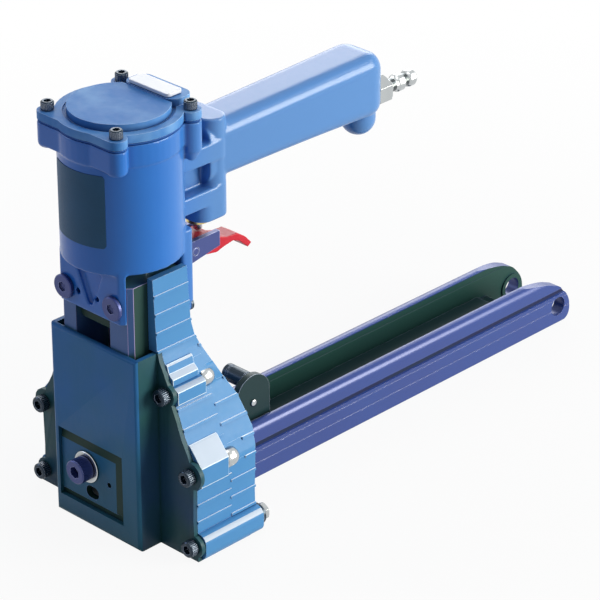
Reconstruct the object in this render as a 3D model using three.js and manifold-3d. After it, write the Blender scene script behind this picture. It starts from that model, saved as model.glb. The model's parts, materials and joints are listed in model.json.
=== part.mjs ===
// Pneumatic carton closing stapler: two-handed height, top cylinder, two swinging anvils, long magazine.
// Millimetres, +Z up. The front of the tool looks along -Y, the magazine runs to +Y.
// Every piece is drawn around the cylinder axis (x = 0, y = 0, base at z = 0), and the whole tool is
// then moved along Y so that the origin is the middle of its footprint.
import * as THREE from 'three';
import { mergeVertices } from 'three/addons/utils/BufferGeometryUtils.js';
import Module from 'manifold-3d';

const wasm = await Module();
wasm.setup();

// Clearances and cutting overrun
const gap = 0.3;
const overrun = 2;
const weldStep = 0.0001;

// Numbers of facets
const barrelFacets = 48;
const roundFacets = 28;
const smallFacets = 16;
const hexFacets = 6;
const cornerSteps = 4;
const pocketSteps = 10;
const clawSteps = 12;

// Magazine: two rails, one staple channel between them
const railHeight = 38;
const railThickness = 7.85;
const channelWidth = 35.6;
const railRear = 395;
const railTopRadius = 3;
const railEyeRadius = 7;
const railEndReach = 49;
const railEyeSetback = 12.5;
const railEyeZ = 13.2;
const eyeBossRadius = 10;
const eyeBossProud = 1.2;
const railGrooveShare = 0.7;
const railGrooveSize = 1;
const trackHeight = 20;
const trackSideGap = 2.2;
const trackSheet = 2;

// Driver blade, its stroke and the block that guides it
const bladeWidth = 34.8;
const bladeThickness = 1.6;
const bladeOffset = 3;
const bladeTipRest = 1;
const stroke = 56;
const overtravel = 4;
const guideHalfWidth = 31.2;
const guideClearance = 4;
const guideSill = 7;
const guideFront = 23.9;
const guideRear = 18.7;
const guideWindowHalfWidth = 15;
const guideWindowShift = -2.3;
const guideTailHalfWidth = 24;
const yokeHeight = 32;
const yokeHeadroom = 3;
const guideSink = 3;
const guideChamfer = 2.8;
const yokeHalfWidth = 14;
const yokeFront = 20.5;
const yokeCorner = 3;

// Cylinder
const barrelRadius = 37.6;
const boreRadius = 30.5;
const sleeveWall = 2.7;
const barrelLift = 5.3;
const floorThickness = 3.4;
const bumperHeight = 7;
const bumperPlay = 0.79;
const pistonHeight = 12;
const pistonHeadroom = 1.7;
const pistonStemRadius = 10;
const pistonStemLength = 10.5;
const ringHeight = 4;
const ringDepth = 2.4;
const bladePinRadius = 2;

// Cap and its four corner screws
const gasketThickness = 1;
const capThickness = 5.3;
const capRimRadius = 38.5;
const capDiscRadius = 31;
const capDiscRise = 3.7;
const capGrooveWidth = 2.5;
const capGrooveDepth = 1.2;
const capScrewPitch = 59.2;
const lugRadius = 6.5;
const lugDepth = 14;
const humpHalfWidth = 22;
const humpFront = 22.5;
const humpRear = 40.5;
const humpRise = 4.6;
const humpCorner = 7;
const exhaustSlotWidth = 6;
const exhaustSlotHeight = 2;
const exhaustSlotDepth = 9;
const exhaustSlotPitch = 11;
const deflectorHalfWidth = 17.5;
const deflectorDepth = 12.6;
const deflectorThickness = 2.3;
const deflectorCorner = 2.5;

// Socket screws: head radius, head height, shank radius
const capScrewHead = 4.1;
const capScrewHeadHeight = 5.4;
const capScrewShank = 2.4;
const capScrewLength = 15;
const flangeScrewHead = 5.3;
const flangeScrewHeadHeight = 6;
const flangeScrewShank = 3;
const flangeScrewLength = 16;
const neckBoltHead = 7.7;
const neckBoltHeadHeight = 2.6;
const neckBoltShank = 3.6;
const neckBoltLength = 14;
const neckBoltSpread = 21.3;
const neckBoltDrop = 16.7;
const rearScrewHead = 4.2;
const rearScrewHeadHeight = 2.5;
const rearScrewShank = 2.4;
const rearScrewLength = 18;
const rearScrewSpread = 23.5;
const rearScrewDrop = 34.5;
const socketDepthShare = 0.55;
const socketRadiusShare = 0.56;

// Neck of the main casting, a plate in front of the guide block and one behind it
const neckHalfWidth = 29.5;
const neckFront = 28;
const neckChamfer = 3.8;
const neckDrop = 27.5;
const neckRise = 1.7;
const neckRearHalfWidth = 31;
const neckRearDrop = 29.5;
const neckRearLug = 4.5;
const neckRearRise = 14;
const neckRearDepth = 10.6;
const neckRearCorner = 3.2;
const neckNotchHalfWidth = 11.5;
const neckNotchTip = 1.5;
const neckNotchDepth = 2.8;
const neckNotchDrop = 22.2;
const neckNotchRise = 1;
const neckHoleRadius = 1.9;
const neckHoleSpread = 8.3;

// Valve housing behind the barrel, and the handle
const valveHalfWidth = 17.5;
const valveRear = 75;
const valveFront = 57;
const valveCorner = 9;
const valveTopDrop = 16.7;
const valveBoreRadius = 7;
const valveAxis = 62;
const webHalfWidth = 9;
const bandHalfWidth = 18;
const upperBandDrop = 28.7;
const upperBandHeight = 12.5;
const lowerBandHeight = 22;
const lowerBandNotch = 11;
const lowerBandDrop = 80.5;
const lowerBlockFront = 48;
const webRoot = 29.6;
const handleTopDrop = 19.5;
const handleHeight = 37.5;
const handleHalfWidth = 17;
const handleCorner = 9;
const handleEndRise = 4;
const handleEndFall = 2;
const handleEndHalfWidth = 18;
const handleRear = 200;
const handleDome = 16;
const handleDomeAngle = 76;
const handleDomeSteps = 5;
const handleStationShares = [0, 0.35, 0.7, 1];
const handleFallPower = 3;
const handleCornerShare = 0.98;
const heelRadius = 11.5;
const heelDrop = 18;
const inletDrop = 51;
const inletBoreRadius = 5;
const inletBoreDepth = 26;
const handleWall = 4.5;
const channelFront = 70;

// Air nipple
const nippleHexFlats = 17;
const nippleHexLength = 12;
const nippleNeckRadius = 4.6;
const nipplePlugRadius = 5.9;
const nippleLength = 38.5;
const nippleBoreRadius = 2;

// Trigger, its bracket and the valve
const bracketHalfWidth = 12;
const bracketWall = 3.6;
const bracketDepth = 39.5;
const bracketHeight = 17;
const bracketTipShare = 0.6;
const bracketDrop = 12;
const bracketRootDepth = 5;
const triggerHalfWidth = 7;
const triggerPinRadius = 2.5;
const triggerPivotY = 49;
const triggerPivotDrop = 19.3;
const triggerHubRadius = 6;
const triggerReach = 52.5;
const triggerDroop = 16;
const valveBushRadius = 7.2;
const valveBushHeight = 6;
const valveChamberRise = 24;
const valveStemRadius = 2.8;
const valveStemHeadRadius = 5.4;
const valveStemHeadHeight = 4;
const valveStemLength = 42;
const valveSpringWall = 1.2;

// Side castings and the pressed front cover
const castingBase = 71.5;
const castingRear = 42.5;
const castingFront = 6.7;
const castingWall = 5;
const coverFlange = 10;
const coverSheet = 3;
const coverFront = 27.3;
const coverHalfWidth = 38.3;
const coverHeight = 132;
const ribPitch = 12;
const ribProud = 0.9;
const ribHeight = 1.6;
const ribSplit = 22;
const upperScrewX = 45;
const upperScrewZ = 106;
const middleScrewX = 66;
const middleScrewZ = 58.5;
const lowerScrewX = 67.5;
const lowerScrewZ = 9.5;
const upperLug = 7.5;
const middleLug = 9;
const lowerLug = 7.5;
const upperBossRear = 23;
const middleBossRear = 19.5;
const bossDomeShare = 0.33;
const bossTipShare = 0.5;
const lowerBossRear = 43;
const lowerBossHeight = 17.5;
const lowerBossCorner = 6;
const washerRadius = 7;
const washerThickness = 3;
const baseNutFlats = 10;
const baseNutThickness = 4;

// Anvils: hubs, claws and the plates that carry them
const anvilPivotX = 16;
const anvilPivotZ = 34;
const anvilHubRadius = 8.5;
const anvilPinRadius = 3.5;
const anvilOuter = 47;
const anvilInner = 41;
const anvilThickness = 4.7;
const anvilHook = 6;
const anvilTipAngle = -40;
const anvilRootAngle = 14;
const anvilWebAngle = -6;
const anvilHookAngle = -20;
const anvilPocketAngle = 18;
const nosePlateHalfWidth = 25.6;
const nosePlateThickness = 3.6;
const anvilPlateThickness = 4.7;
const anvilPlateClearance = 3;
const anvilPlateBottom = 2;

// Depth adjuster in the window of the front cover
const panelLeft = -34;
const panelRight = 23.5;
const panelBottom = 13;
const panelTop = 61;
const panelPlay = 4;
const depthPlateThickness = 4;
const depthPlateTop = 71;
const depthPlateBottom = 7;
const depthPlateHalfWidth = 34.6;
const panelSink = 2.1;
const adjusterX = -10.6;
const adjusterZ = 40.5;
const adjusterHeadRadius = 8;
const adjusterHeadLength = 9;
const adjusterShank = 4;
const adjusterWasherOuter = 10.5;
const adjusterWasherInner = 5;
const adjusterWasherThickness = 1.2;
const sightHoleX = -5;
const sightHoleZ = 23.5;
const sightHoleRadius = 4.2;
const sightHoleStretch = 3;
const smallHoleX = 9;
const smallHoleZ = 35;
const smallHoleRadius = 1.8;

// Staple pusher
const pusherFront = 5.4;
const pusherLength = 101.6;
const pusherSideGap = 0.4;
const pusherTopSink = 2;
const cheekRadius = 14.8;
const cheekY = 93;
const cheekZ = 53.5;
const cheekOuter = 16;
const cheekThickness = 4.6;
const thumbBarRadius = 4.2;
const thumbBarSpigot = 2.1;
const thumbBarLength = 24;
const thumbBarY = 98;
const thumbBarZ = 58.5;
const cheekPinRadius = 2.4;
const cheekPinZ = 48.6;
const cheekPinProud = 1;
const springRollRadius = 6.2;
const springRollLength = 14;
const springRollY = 32;
const springRollWall = 2;
const rearSpacerDepth = 12;
const rearSpacerY = 350;
const rearSpacerHeight = 16;
const rearBoltRadius = 2.6;
const rearBoltZ = 10;
const rearBoltSink = 3;

// Places worked out from the sizes above
const radians = Math.PI / 180;
const quarter = Math.PI / 2;
const railInner = channelWidth / 2;
const railOuter = railInner + railThickness;
const bladeFront = bladeOffset - bladeThickness / 2;
const bladeRear = bladeOffset + bladeThickness / 2;
const bladeRest = bladeTipRest + stroke;
const guideBottom = depthPlateTop + guideClearance;
const windowBottom = guideBottom + guideSill;
const yokeBottom = windowBottom + overtravel + stroke;
const yokeTop = yokeBottom + yokeHeight;
const guideTop = yokeTop + yokeHeadroom;
const castingTop = guideTop + guideSink;
const barrelBottom = castingTop + barrelLift;
const floorTop = barrelBottom + floorThickness;
const bumperHoleRadius = Math.hypot(bladeWidth / 2, bladeRear) + bumperPlay;
const bumperBottom = floorTop + gap;
const bumperTop = bumperBottom + bumperHeight;
const pistonBottom = bumperTop + overtravel + stroke;
const pistonTop = pistonBottom + pistonHeight;
const barrelTop = pistonTop + pistonHeadroom;
const gasketBottom = barrelTop + gap;
const capBottom = gasketBottom + gasketThickness + gap;
const capTop = capBottom + capThickness;
const sleeveInner = boreRadius - gap - sleeveWall;
const pistonRadius = sleeveInner - 2 * gap;
const neckBottom = castingTop - neckDrop;
const valveTop = barrelTop - valveTopDrop;
const lowerBandBottom = barrelTop - lowerBandDrop;
const upperBandTop = barrelTop - upperBandDrop;
const handleTop = barrelTop - handleTopDrop;
const handleBottom = handleTop - handleHeight;
const inletZ = barrelTop - inletDrop;
const valveChamberTop = handleBottom + valveChamberRise;
const inletRear = handleRear + handleDome;
const bracketTop = lowerBandBottom - bracketDrop;
const triggerPivotZ = lowerBandBottom - triggerPivotDrop;
const triggerTop = triggerPivotZ + triggerHubRadius + 2 * gap;
const neckRearBottom = castingTop - neckRearDrop;
const coverBack = coverFlange - coverSheet;
const anvilBack = castingFront - anvilThickness;
const anvilReach = anvilOuter + 3 * gap;
const anvilPocketTop = anvilPivotZ + anvilReach * Math.sin(anvilPocketAngle * radians) + 2 * gap;
const noseFront = bladeFront - gap - nosePlateThickness;
const noseRear = bladeFront - gap;
const magazineFront = bladeRear + 2 * gap;
const anvilPlateFront = castingFront + gap + anvilPlateThickness;
const anvilPlateTop = guideBottom - anvilPlateClearance;
const depthPlateFront = coverFront - coverSheet + gap;
const panelFace = coverFront - panelSink;
const pusherTop = railHeight - pusherTopSink;
const pusherBottom = trackHeight + 2 * gap;

// Finishes
const finishes = {
  bluePaint: { color: 0x2d62b4, roughness: 0.32, metalness: 0.1 },
  blackOxide: { color: 0x23303a, roughness: 0.42, metalness: 0.6 },
  blackPlate: { color: 0x27476e, roughness: 0.35, metalness: 0.5 },
  railSteel: { color: 0x3c3f86, roughness: 0.3, metalness: 0.6 },
  redPaint: { color: 0xc41f2c, roughness: 0.35, metalness: 0.1 },
  nickel: { color: 0xcfd2d0, roughness: 0.18, metalness: 1 },
  brightSteel: { color: 0xb9bec4, roughness: 0.28, metalness: 1 },
  brass: { color: 0xc9b26a, roughness: 0.3, metalness: 1 },
  paleMetal: { color: 0xe6e2d6, roughness: 0.5, metalness: 0.2 },
  rubber: { color: 0x17191c, roughness: 0.8, metalness: 0 },
  castAluminium: { color: 0xa9adb0, roughness: 0.5, metalness: 0.8 },
};

// Turns a closed three.js geometry into a solid that can be cut and joined
function solidOf(geometry) {
  const bare = new THREE.BufferGeometry();
  bare.setAttribute('position', geometry.getAttribute('position'));
  if (geometry.index) bare.setIndex(geometry.index);
  const merged = mergeVertices(bare, weldStep);
  const corners = merged.index.array;
  const kept = [];
  for (let i = 0; i < corners.length; i += 3) {
    const [a, b, c] = [corners[i], corners[i + 1], corners[i + 2]];
    if (a !== b && b !== c && c !== a) kept.push(a, b, c);
  }
  return new wasm.Manifold(new wasm.Mesh({
    numProp: 3,
    vertProperties: new Float32Array(merged.getAttribute('position').array),
    triVerts: new Uint32Array(kept),
  }));
}

function geometryOf(solid) {
  const mesh = solid.getMesh();
  const geometry = new THREE.BufferGeometry();
  geometry.setAttribute('position', new THREE.BufferAttribute(new Float32Array(mesh.vertProperties), 3));
  geometry.setIndex(new THREE.BufferAttribute(new Uint32Array(mesh.triVerts), 1));
  return geometry;
}

function join(...solids) {
  return solids.reduce((sum, next) => sum.add(next));
}

function cut(solid, ...tools) {
  return tools.reduce((left, tool) => left.subtract(tool), solid);
}

// Axis-aligned block between two values on each axis
function block([x0, x1], [y0, y1], [z0, z1]) {
  const geometry = new THREE.BoxGeometry(x1 - x0, y1 - y0, z1 - z0);
  return solidOf(geometry.translate((x0 + x1) / 2, (y0 + y1) / 2, (z0 + z1) / 2));
}

const axisTurns = {
  x: new THREE.Matrix4().makeRotationZ(-quarter),
  y: new THREE.Matrix4(),
  z: new THREE.Matrix4().makeRotationX(quarter),
};

// Round bar or disc along an axis from one value to another, at two cross positions given in axis order
function rod(axis, from, to, radius, [a, b], facets = smallFacets, endRadius = radius) {
  const geometry = new THREE.CylinderGeometry(endRadius, radius, to - from, facets);
  geometry.applyMatrix4(axisTurns[axis]);
  const middle = (from + to) / 2;
  const place = { x: [middle, a, b], y: [a, middle, b], z: [a, b, middle] }[axis];
  return solidOf(geometry.translate(...place));
}

function tube(axis, from, to, outer, inner, place, facets = roundFacets) {
  return cut(rod(axis, from, to, outer, place, facets),
    rod(axis, from - overrun, to + overrun, inner, place, facets));
}

// Flat outline pushed along an axis; the outline's own axes are the other two, in X, Y, Z order
function prism(shape, axis, from, to) {
  const geometry = new THREE.ExtrudeGeometry(shape, {
    depth: to - from, bevelEnabled: false, curveSegments: cornerSteps,
  });
  const basis = new THREE.Matrix4();
  const [ex, ey, ez] = [new THREE.Vector3(1, 0, 0), new THREE.Vector3(0, 1, 0), new THREE.Vector3(0, 0, 1)];
  if (axis === 'x') basis.makeBasis(ey, ez, ex).setPosition(from, 0, 0);
  if (axis === 'y') basis.makeBasis(ex, ez, ey.clone().negate()).setPosition(0, to, 0);
  if (axis === 'z') basis.setPosition(0, 0, from);
  geometry.applyMatrix4(basis);
  return solidOf(geometry);
}

function outline(points) {
  return new THREE.Shape(points.map(([a, b]) => new THREE.Vector2(a, b)));
}

function roundedRectangle([x0, x1], [y0, y1], radius) {
  const shape = new THREE.Shape();
  const corners = [[x1 - radius, y0 + radius, -1], [x1 - radius, y1 - radius, 0],
    [x0 + radius, y1 - radius, 1], [x0 + radius, y0 + radius, 2]];
  corners.forEach(([x, y, turns], i) => {
    const start = turns * quarter;
    if (i === 0) shape.moveTo(x + radius * Math.cos(start), y + radius * Math.sin(start));
    shape.absarc(x, y, radius, start, start + quarter, false);
  });
  return shape;
}

// Corner radius of a hexagon with a width across flats
function hexRadius(flats) {
  return flats / 2 / Math.cos(Math.PI / hexFacets);
}

// Turned piece: a closed profile of [radius, height] points around the local Z axis
function turned(profile, facets = roundFacets) {
  const geometry = new THREE.LatheGeometry(profile.map(([r, h]) => new THREE.Vector2(r, h)), facets);
  return solidOf(geometry.applyMatrix4(axisTurns.z));
}

function mirrorX(solid) {
  const geometry = geometryOf(solid);
  geometry.applyMatrix4(new THREE.Matrix4().makeScale(-1, 1, 1));
  const corners = geometry.index.array;
  for (let i = 0; i < corners.length; i += 3) {
    [corners[i], corners[i + 1]] = [corners[i + 1], corners[i]];
  }
  return solidOf(geometry);
}

// Socket screw along local Z: the head sits on z = 0 and the shank runs down
function socketScrew(head, headHeight, shank, length) {
  const socket = head * socketRadiusShare;
  const body = join(rod('z', 0, headHeight, head, [0, 0]), rod('z', -length, headHeight / 2, shank, [0, 0]));
  const depth = headHeight * socketDepthShare;
  const recess = rod('z', headHeight - depth, headHeight + overrun, socket, [0, 0], hexFacets);
  return cut(body, recess);
}

const tool = new THREE.Group();
const part = new THREE.Group();
part.add(tool);

// Adds a named piece; its mesh keeps its own place, and the geometry is drawn around that place
function addPiece(name, solid, finish, anchor = [0, 0, 0], parent = tool) {
  const geometry = geometryOf(solid).translate(...anchor.map((v) => -v)).toNonIndexed();
  geometry.computeVertexNormals();
  const mesh = new THREE.Mesh(geometry, new THREE.MeshStandardMaterial(finishes[finish]));
  mesh.name = name;
  mesh.position.set(...anchor);
  parent.add(mesh);
  return mesh;
}

// Adds a screw whose head rests on a face; turn points its local Z away from the face
function addScrew(name, solid, finish, place, turn) {
  const mesh = addPiece(name, solid, finish);
  mesh.position.set(...place);
  mesh.rotation.set(...turn);
  return mesh;
}

const headUp = [0, 0, 0];
const headForward = [quarter, 0, 0];
const headBack = [-quarter, 0, 0];
const sides = [['left', -1], ['right', 1]];

const capScrewPlaces = [];
for (const [end, endSign] of [['front', -1], ['rear', 1]]) {
  for (const [side, sideSign] of sides) {
    capScrewPlaces.push([`${end}_${side}`, sideSign * capScrewPitch / 2, endSign * capScrewPitch / 2]);
  }
}

// Cap outline: a round rim, four screw lugs and nearly straight front and rear edges
function capOutline(from, to, inset = 0) {
  const rim = rod('z', from, to, capRimRadius - inset, [0, 0], barrelFacets);
  const half = capScrewPitch / 2;
  const reach = half + lugRadius - inset;
  const bar = block([-half, half], [-reach, reach], [from, to]);
  const lugs = capScrewPlaces.map(([, x, y]) => rod('z', from, to, lugRadius - inset, [x, y], smallFacets));
  return join(rim, bar, ...lugs);
}

function capScrewHoles(from, to) {
  return capScrewPlaces.map(([, x, y]) => rod('z', from, to, capScrewShank + gap, [x, y]));
}

// Handle: rounded rectangles at stations along Y, closed at both ends, with a domed rear end
function handleLoft() {
  const stations = [];
  const start = valveFront + gap;
  for (const share of handleStationShares) {
    stations.push({
      y: start + (handleRear - start) * share,
      half: handleHalfWidth + (handleEndHalfWidth - handleHalfWidth) * share,
      top: handleTop + handleEndRise * share,
      bottom: handleBottom - handleEndFall * share ** handleFallPower,
    });
  }
  const domeEnd = handleDomeAngle * radians;
  for (let i = 1; i <= handleDomeSteps; i += 1) {
    const turn = domeEnd * i / handleDomeSteps;
    stations.push({
      y: handleRear + handleDome * Math.sin(turn) / Math.sin(domeEnd),
      half: handleEndHalfWidth * Math.cos(turn),
      top: handleTop + handleEndRise - handleDome * (1 - Math.cos(turn)),
      bottom: handleBottom - handleEndFall,
    });
  }
  const ringSize = 4 * (cornerSteps + 1);
  const positions = [];
  for (const { y, half, top, bottom } of stations) {
    const radius = Math.min(handleCorner, half * handleCornerShare);
    for (let corner = 0; corner < 4; corner += 1) {
      const right = corner === 0 || corner === 3 ? 1 : -1;
      const upper = corner < 2 ? 1 : -1;
      const x = right * (half - radius);
      const z = upper > 0 ? top - radius : bottom + radius;
      for (let i = 0; i <= cornerSteps; i += 1) {
        const turn = quarter * (corner + i / cornerSteps);
        positions.push(x + radius * Math.cos(turn), y, z + radius * Math.sin(turn));
      }
    }
  }
  const faces = [];
  const last = (stations.length - 1) * ringSize;
  for (let s = 0; s < stations.length - 1; s += 1) {
    for (let i = 0; i < ringSize; i += 1) {
      const a = s * ringSize + i;
      const b = s * ringSize + (i + 1) % ringSize;
      faces.push(a, b + ringSize, b, a, a + ringSize, b + ringSize);
    }
  }
  for (let i = 1; i < ringSize - 1; i += 1) {
    faces.push(0, i, i + 1, last, last + i + 1, last + i);
  }
  const geometry = new THREE.BufferGeometry();
  geometry.setAttribute('position', new THREE.Float32BufferAttribute(positions, 3));
  geometry.setIndex(faces);
  return solidOf(geometry);
}

// Rounded heel under the rear end of the handle
function handleHeel() {
  const center = inletRear - heelRadius;
  const low = handleBottom - heelDrop + heelRadius;
  const profile = [[0, low - heelRadius]];
  for (let i = 1; i <= cornerSteps; i += 1) {
    const turn = quarter * i / cornerSteps;
    profile.push([heelRadius * Math.sin(turn), low - heelRadius * Math.cos(turn)]);
  }
  profile.push([heelRadius, handleBottom + heelRadius], [0, handleBottom + heelRadius]);
  return solidOf(geometryOf(turned(profile)).translate(0, center, 0));
}

function bladeSlot(from, to) {
  const half = bladeWidth / 2 + gap;
  return block([-half, half], [bladeFront - gap, bladeRear + gap], [from, to]);
}

// Neck plates; the front one has a V-shaped notch under the barrel
function neckPlates() {
  const corner = neckHalfWidth - neckChamfer;
  const front = outline([[-corner, -neckFront], [corner, -neckFront],
    [neckHalfWidth, -neckFront + neckChamfer], [neckHalfWidth, -guideFront - gap],
    [-neckHalfWidth, -guideFront - gap], [-neckHalfWidth, -neckFront + neckChamfer]]);
  const [notchTop, notchBottom] = [castingTop + neckNotchRise, castingTop - neckNotchDrop];
  const notch = outline([[-neckNotchHalfWidth, notchTop], [-neckNotchTip, notchBottom],
    [neckNotchTip, notchBottom], [neckNotchHalfWidth, notchTop]]);
  const frontPlate = cut(prism(front, 'z', neckBottom, barrelBottom + neckRise),
    prism(notch, 'y', -neckFront - overrun, -neckFront + neckNotchDepth));
  const rearStart = guideRear + gap;
  const rearEnd = rearStart + neckRearDepth;
  const rear = roundedRectangle([-neckRearHalfWidth, neckRearHalfWidth], [rearStart, rearEnd],
    neckRearCorner);
  const lugZ = castingTop - rearScrewDrop;
  const rearLugs = [-1, 1].map((sign) => join(
    rod('y', rearStart, rearEnd, neckRearLug, [sign * rearScrewSpread, lugZ]),
    block([sign * rearScrewSpread - neckRearLug, sign * rearScrewSpread + neckRearLug], [rearStart, rearEnd],
      [lugZ, neckRearBottom + neckRearLug])));
  return join(frontPlate, prism(rear, 'z', neckRearBottom, barrelBottom + neckRearRise), ...rearLugs);
}

function valveHousing() {
  const tower = roundedRectangle([-valveHalfWidth, valveHalfWidth], [valveFront, valveRear], valveCorner);
  const bandSides = [-bandHalfWidth, bandHalfWidth];
  const band = roundedRectangle(bandSides, [webRoot - valveCorner, valveRear - gap], valveCorner);
  const foot = roundedRectangle(bandSides, [lowerBlockFront, valveRear - gap], valveCorner);
  const lowerBandTop = lowerBandBottom + lowerBandHeight;
  return join(
    prism(tower, 'z', lowerBandBottom, valveTop),
    block([-webHalfWidth, webHalfWidth], [webRoot, valveFront + valveCorner],
      [lowerBandBottom + lowerBandNotch, valveTop]),
    prism(band, 'z', upperBandTop - upperBandHeight, upperBandTop),
    prism(band, 'z', lowerBandBottom + lowerBandNotch, lowerBandTop),
    prism(foot, 'z', lowerBandBottom, lowerBandTop),
  );
}

function bodyCasting() {
  const outer = join(
    rod('z', barrelBottom, barrelTop, barrelRadius, [0, 0], barrelFacets),
    capOutline(barrelTop - lugDepth, barrelTop),
    neckPlates(), valveHousing(), handleLoft(), handleHeel(),
  );
  const depth = capScrewLength - capThickness - gasketThickness;
  const neckTaps = [-1, 1].flatMap((sign) => [
    rod('y', -neckFront - overrun, -guideFront, neckBoltShank + gap,
      [sign * neckBoltSpread, castingTop - neckBoltDrop]),
    rod('y', -neckFront - overrun, -guideFront, neckHoleRadius,
      [guideWindowShift + sign * neckHoleSpread, castingTop - neckBoltDrop]),
    rod('y', guideRear, guideRear + neckRearDepth + overrun, rearScrewShank + gap,
      [sign * rearScrewSpread, castingTop - rearScrewDrop]),
  ]);
  const channelZ = (handleTop + handleBottom) / 2;
  const channel = roundedRectangle([-handleHalfWidth + handleWall, handleHalfWidth - handleWall],
    [handleBottom + handleWall, handleTop - handleWall], handleCorner - handleWall);
  return cut(outer,
    rod('z', floorTop, barrelTop + overrun, boreRadius, [0, 0], barrelFacets),
    bladeSlot(barrelBottom - overrun, floorTop + overrun),
    ...capScrewHoles(barrelTop - depth - gap, barrelTop + overrun),
    ...neckTaps,
    rod('z', lowerBandBottom - overrun, valveChamberTop, valveBoreRadius, [0, valveAxis]),
    prism(channel, 'y', channelFront, inletRear - inletBoreDepth),
    rod('y', valveAxis, channelFront + overrun, inletBoreRadius, [0, channelZ]),
    rod('y', inletRear - inletBoreDepth - overrun, inletRear + overrun, inletBoreRadius, [0, inletZ]),
    rod('y', boreRadius - overrun, valveAxis, inletBoreRadius, [0, upperBandTop - upperBandHeight / 2]),
  );
}

function addBody() {
  addPiece('body_casting', bodyCasting(), 'bluePaint', [0, 0, barrelBottom]);
  addPiece('cylinder_sleeve', tube('z', bumperBottom, pistonTop, boreRadius - gap, sleeveInner, [0, 0],
    barrelFacets), 'castAluminium', [0, 0, bumperBottom]);
  addPiece('bumper_ring', tube('z', bumperBottom, bumperTop, sleeveInner - gap, bumperHoleRadius, [0, 0]),
    'rubber', [0, 0, bumperBottom]);
  const gasket = cut(capOutline(gasketBottom, gasketBottom + gasketThickness, gap),
    rod('z', gasketBottom - overrun, gasketBottom + overrun, boreRadius, [0, 0], barrelFacets),
    ...capScrewHoles(gasketBottom - overrun, gasketBottom + gasketThickness + overrun));
  addPiece('cap_gasket', gasket, 'rubber', [0, 0, gasketBottom]);
}

function topCap() {
  const disc = rod('z', capBottom, capTop + capDiscRise, capDiscRadius, [0, 0], barrelFacets);
  const trimmed = cut(disc, block([-capRimRadius, capRimRadius], [humpFront, capRimRadius],
    [capTop, capTop + capDiscRise + overrun]));
  const hump = roundedRectangle([-humpHalfWidth, humpHalfWidth], [humpFront, humpRear], humpCorner);
  const humpFoot = roundedRectangle([-humpHalfWidth, humpHalfWidth], [humpFront, capRimRadius], humpCorner);
  const groove = tube('z', capTop - capGrooveDepth, capTop + overrun, capDiscRadius + capGrooveWidth,
    capDiscRadius, [0, 0], barrelFacets);
  const slots = [-1, 0, 1].map((step) => block(
    [step * exhaustSlotPitch - exhaustSlotWidth / 2, step * exhaustSlotPitch + exhaustSlotWidth / 2],
    [humpRear - exhaustSlotDepth, humpRear + overrun],
    [capTop + humpRise / 2 - exhaustSlotHeight / 2, capTop + humpRise / 2 + exhaustSlotHeight / 2]));
  const plate = cut(capOutline(capBottom, capTop), groove);
  return cut(
    join(plate, trimmed, prism(hump, 'z', capTop - capGrooveDepth, capTop + humpRise),
      prism(humpFoot, 'z', capBottom, capTop)),
    ...slots, ...capScrewHoles(capBottom - overrun, capTop + overrun));
}

function addCap() {
  addPiece('top_cap', topCap(), 'bluePaint', [0, 0, capBottom]);
  const low = capTop + humpRise + gap;
  const plate = roundedRectangle([-deflectorHalfWidth, deflectorHalfWidth],
    [humpFront + gap, humpFront + gap + deflectorDepth], deflectorCorner);
  addPiece('exhaust_deflector', prism(plate, 'z', low, low + deflectorThickness), 'paleMetal',
    [0, humpFront, low]);
  const screw = socketScrew(capScrewHead, capScrewHeadHeight, capScrewShank, capScrewLength);
  for (const [name, x, y] of capScrewPlaces) {
    addScrew(`cap_screw_${name}`, screw, 'blackOxide', [x, y, capTop + gap], headUp);
  }
}

function addNeckFasteners() {
  const bolt = socketScrew(neckBoltHead, neckBoltHeadHeight, neckBoltShank, neckBoltLength);
  const rearScrew = socketScrew(rearScrewHead, rearScrewHeadHeight, rearScrewShank, rearScrewLength);
  for (const [side, sign] of sides) {
    addScrew(`neck_bolt_${side}`, bolt, 'blackOxide',
      [sign * neckBoltSpread, -neckFront - gap, castingTop - neckBoltDrop], headForward);
    addScrew(`rear_neck_screw_${side}`, rearScrew, 'blackOxide',
      [sign * rearScrewSpread, guideRear + neckRearDepth + 2 * gap, castingTop - rearScrewDrop], headBack);
  }
}

// Guide block: carries the blade, and opens to the front for the yoke
function addGuide() {
  const corner = guideHalfWidth - guideChamfer;
  const shoulder = guideChamfer - guideFront;
  const plan = outline([[-corner, -guideFront], [corner, -guideFront], [guideHalfWidth, shoulder],
    [guideHalfWidth, guideRear], [-guideHalfWidth, guideRear], [-guideHalfWidth, shoulder]]);
  const upper = prism(plan, 'z', guideBottom, guideTop);
  const tail = block([-guideTailHalfWidth, guideTailHalfWidth], [bladeRear + gap, guideRear],
    [railHeight + 4 * gap, guideBottom + overrun]);
  const window = block([guideWindowShift - guideWindowHalfWidth, guideWindowShift + guideWindowHalfWidth],
    [-guideFront - overrun, bladeFront], [windowBottom, guideTop + overrun]);
  const taps = [-1, 1].flatMap((sign) => [
    rod('y', -guideFront - overrun, -neckFront + neckBoltLength + gap, neckBoltShank + gap,
      [sign * neckBoltSpread, castingTop - neckBoltDrop]),
    rod('y', guideRear + neckRearDepth + gap - rearScrewLength, guideRear + overrun, rearScrewShank + gap,
      [sign * rearScrewSpread, castingTop - rearScrewDrop]),
  ]);
  const guide = cut(join(upper, tail), window, bladeSlot(railHeight, guideTop + overrun), ...taps);
  addPiece('guide_block', guide, 'blackOxide', [0, 0, guideBottom]);
}

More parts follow.
